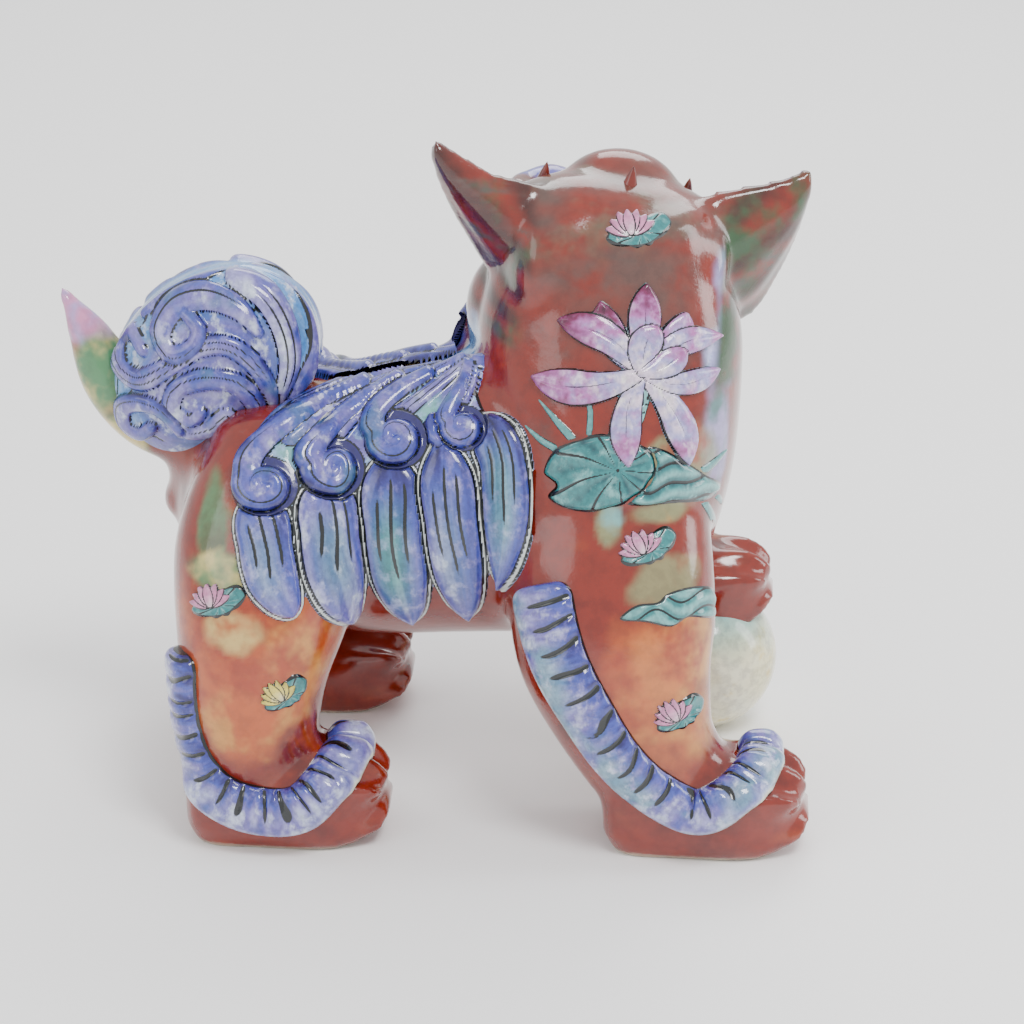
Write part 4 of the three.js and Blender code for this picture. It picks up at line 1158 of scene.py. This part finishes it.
def eyes(material):
    parts = [ball([0, 0, 0], (1, 1, 1), 64, 48)]
    for side, name in ((RIGHT, "right_eye"), (LEFT, "left_eye")):
        points, faces = parts[0]
        way = unit(np.array([side * 0.25, 1, -0.05]))
        off = np.degrees(np.arccos(np.clip(points @ way, -1, 1)))
        paint = mixed(WHITE, YELLOW, 0.5 * step(46, 26, off))
        ink = np.maximum(step(21, 17, off), step(48, 52, off) * step(62, 58, off))
        skin = on_head((points * (13.5, 13, 12.5) + (side * 26, 68, 11), [face[::-1] for face in faces]))
        show(name, *skin, material, paint, WHITE, ink, 0.1)


def teeth(material):
    parts = []
    for k, angle in enumerate(np.linspace(-52, 52, 10)):
        across, out = math.sin(angle * DEG), math.cos(angle * DEG)
        for row, z in enumerate((-31, -38)):
            tall = 9 if k in (1, 8) and row == 0 else 4.2
            middle = [39 * across, 62 + 31 * out, z - (tall - 4.2) * 0.5]
            parts.append(on_head(ball(middle, [3.6, 4.2, tall], 20, 14)))
    points, faces = together(parts)
    return show("teeth", points, [face[::-1] for face in faces], material, CREAM, STRAW, 0.0, 0.2)


# Stage, light and camera
VIEW_AZIMUTH, VIEW_ELEVATION, VIEW_DISTANCE = 3, 24, 2200
VIEW_AIM = np.array([44.6, 0, 167])
PIXELS_PER_MM, IMAGE_SIDE, SENSOR = 1.68, 1024, 36


def stage():
    bpy.ops.mesh.primitive_plane_add(size=14, location=(0, 0, 0))
    floor = bpy.context.object
    floor.name = "floor"
    material = bpy.data.materials.new("floor_white")
    material.use_nodes = True
    shader = material.node_tree.nodes["Principled BSDF"]
    shader.inputs["Base Color"].default_value = (0.96, 0.96, 0.96, 1)
    shader.inputs["Roughness"].default_value = 0.55
    floor.data.materials.append(material)
    world = bpy.data.worlds.new("studio")
    bpy.context.scene.world = world
    world.use_nodes = True
    world.node_tree.nodes["Background"].inputs["Color"].default_value = (1, 1, 1, 1)
    world.node_tree.nodes["Background"].inputs["Strength"].default_value = 1.15
    for name, place, size, power in (
        ("key", (0.7, -1.1, 2.3), (0.7, 0.7), 40),
        ("fill", (-1.7, -1.2, 1.2), (1.4, 1.0), 8),
        ("back", (0.3, 1.6, 1.7), (1.4, 1.0), 22),
        ("side", (1.8, 0.1, 0.9), (0.5, 1.2), 12),
    ):
        light = bpy.data.lights.new(name, "AREA")
        light.shape, light.size, light.size_y, light.energy = "RECTANGLE", *size, power
        lamp = bpy.data.objects.new(name, light)
        lamp.location = place
        lamp.rotation_euler = (Vector((0, 0, 0.18)) - Vector(place)).to_track_quat("-Z", "Y").to_euler()
        bpy.context.scene.collection.objects.link(lamp)


def camera():
    azimuth, elevation = VIEW_AZIMUTH * DEG, VIEW_ELEVATION * DEG
    level = math.cos(elevation)
    back = np.array([math.sin(azimuth) * level, -math.cos(azimuth) * level, math.sin(elevation)])
    lens = bpy.data.cameras.new("view")
    lens.sensor_width = SENSOR
    lens.lens = PIXELS_PER_MM * VIEW_DISTANCE / IMAGE_SIDE * SENSOR
    view = bpy.data.objects.new("view", lens)
    view.location = (VIEW_AIM + SHIFT + back * VIEW_DISTANCE) * MM
    view.rotation_euler = Vector(-back).to_track_quat("-Z", "Y").to_euler()
    bpy.context.scene.collection.objects.link(view)
    bpy.context.scene.camera = view


def main():
    stage()
    camera()
    body_glaze = glaze("painted_glaze", 34, speck=0.12, soft=0.2, detail=3, streaks=0.3)
    fine_glaze = glaze("carved_glaze", 110, (1, 1, 0.8))
    ball_glaze = glaze("pale_glaze", 50, speck=0.1)
    points, faces = remeshed(*together(plain_body()), VOXEL)
    head = in_head(points)
    thin = step(50, 62, np.abs(head[:, 0])) * step(-45, -30, head[:, 2]) * step(240, 255, points[:, 2])
    points = filleted(points, faces, 1 - thin, 60)
    points = relaxed(points, faces, 3)
    for _ in range(5):
        low = step(12, 5, points[:, 2])[:, None]
        points = points * (1 - low) + relaxed(points, faces, 5) * low
    points[:, 2] = np.maximum(points[:, 2], 0)
    normals = normals_of(points, faces)
    tree = BVHTree.FromPolygons(points.tolist(), faces.tolist())
    paint, wash, amount, raw = body_colours(points, normals)
    figure = show("figure", points, faces, body_glaze, paint, wash, 0.0, amount, raw)
    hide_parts("foo_dog")
    for side, name in ((RIGHT, "right_mantle"), (LEFT, "left_mantle")):
        relief(name, tree, (-114, 62, 124, 308), 0.8, side, 24, 76, mantle, fine_glaze)
    tail_plume(fine_glaze)
    frill("fore_frill", tree, FORE_FRILL, RIGHT, 20, 23, 14.5, 0.6, 200, fine_glaze)
    frill("right_hind_frill", tree, HIND_FRILL, RIGHT, 19, 17, 15.5, 0.1, 210, fine_glaze)
    frill("left_hind_frill", tree, HIND_FRILL, LEFT, 19, 17, 15.5, 0.1, 220, fine_glaze)
    relief("lotus_neck", tree, (50, 178, 184, 356), 0.7, RIGHT, 24, 82, lotus, fine_glaze)
    for name, (x, z), size, tilt, colour, plane in MOTIFS:
        box = (x - size * 0.6, x + size * 0.6, z - size * 0.5, z + size * 0.5)
        relief(name, tree, box, 0.45, RIGHT, 24, plane, motif((x, z), size, tilt, colour), fine_glaze)
    relief("water_shin", tree, (108, 170, 138, 172), 0.5, RIGHT, 24, 100, wave_motif((139, 154)), fine_glaze)
    glazed_ball(ball_glaze)
    spikes(body_glaze)
    eyes(ball_glaze)
    teeth(ball_glaze)


main()
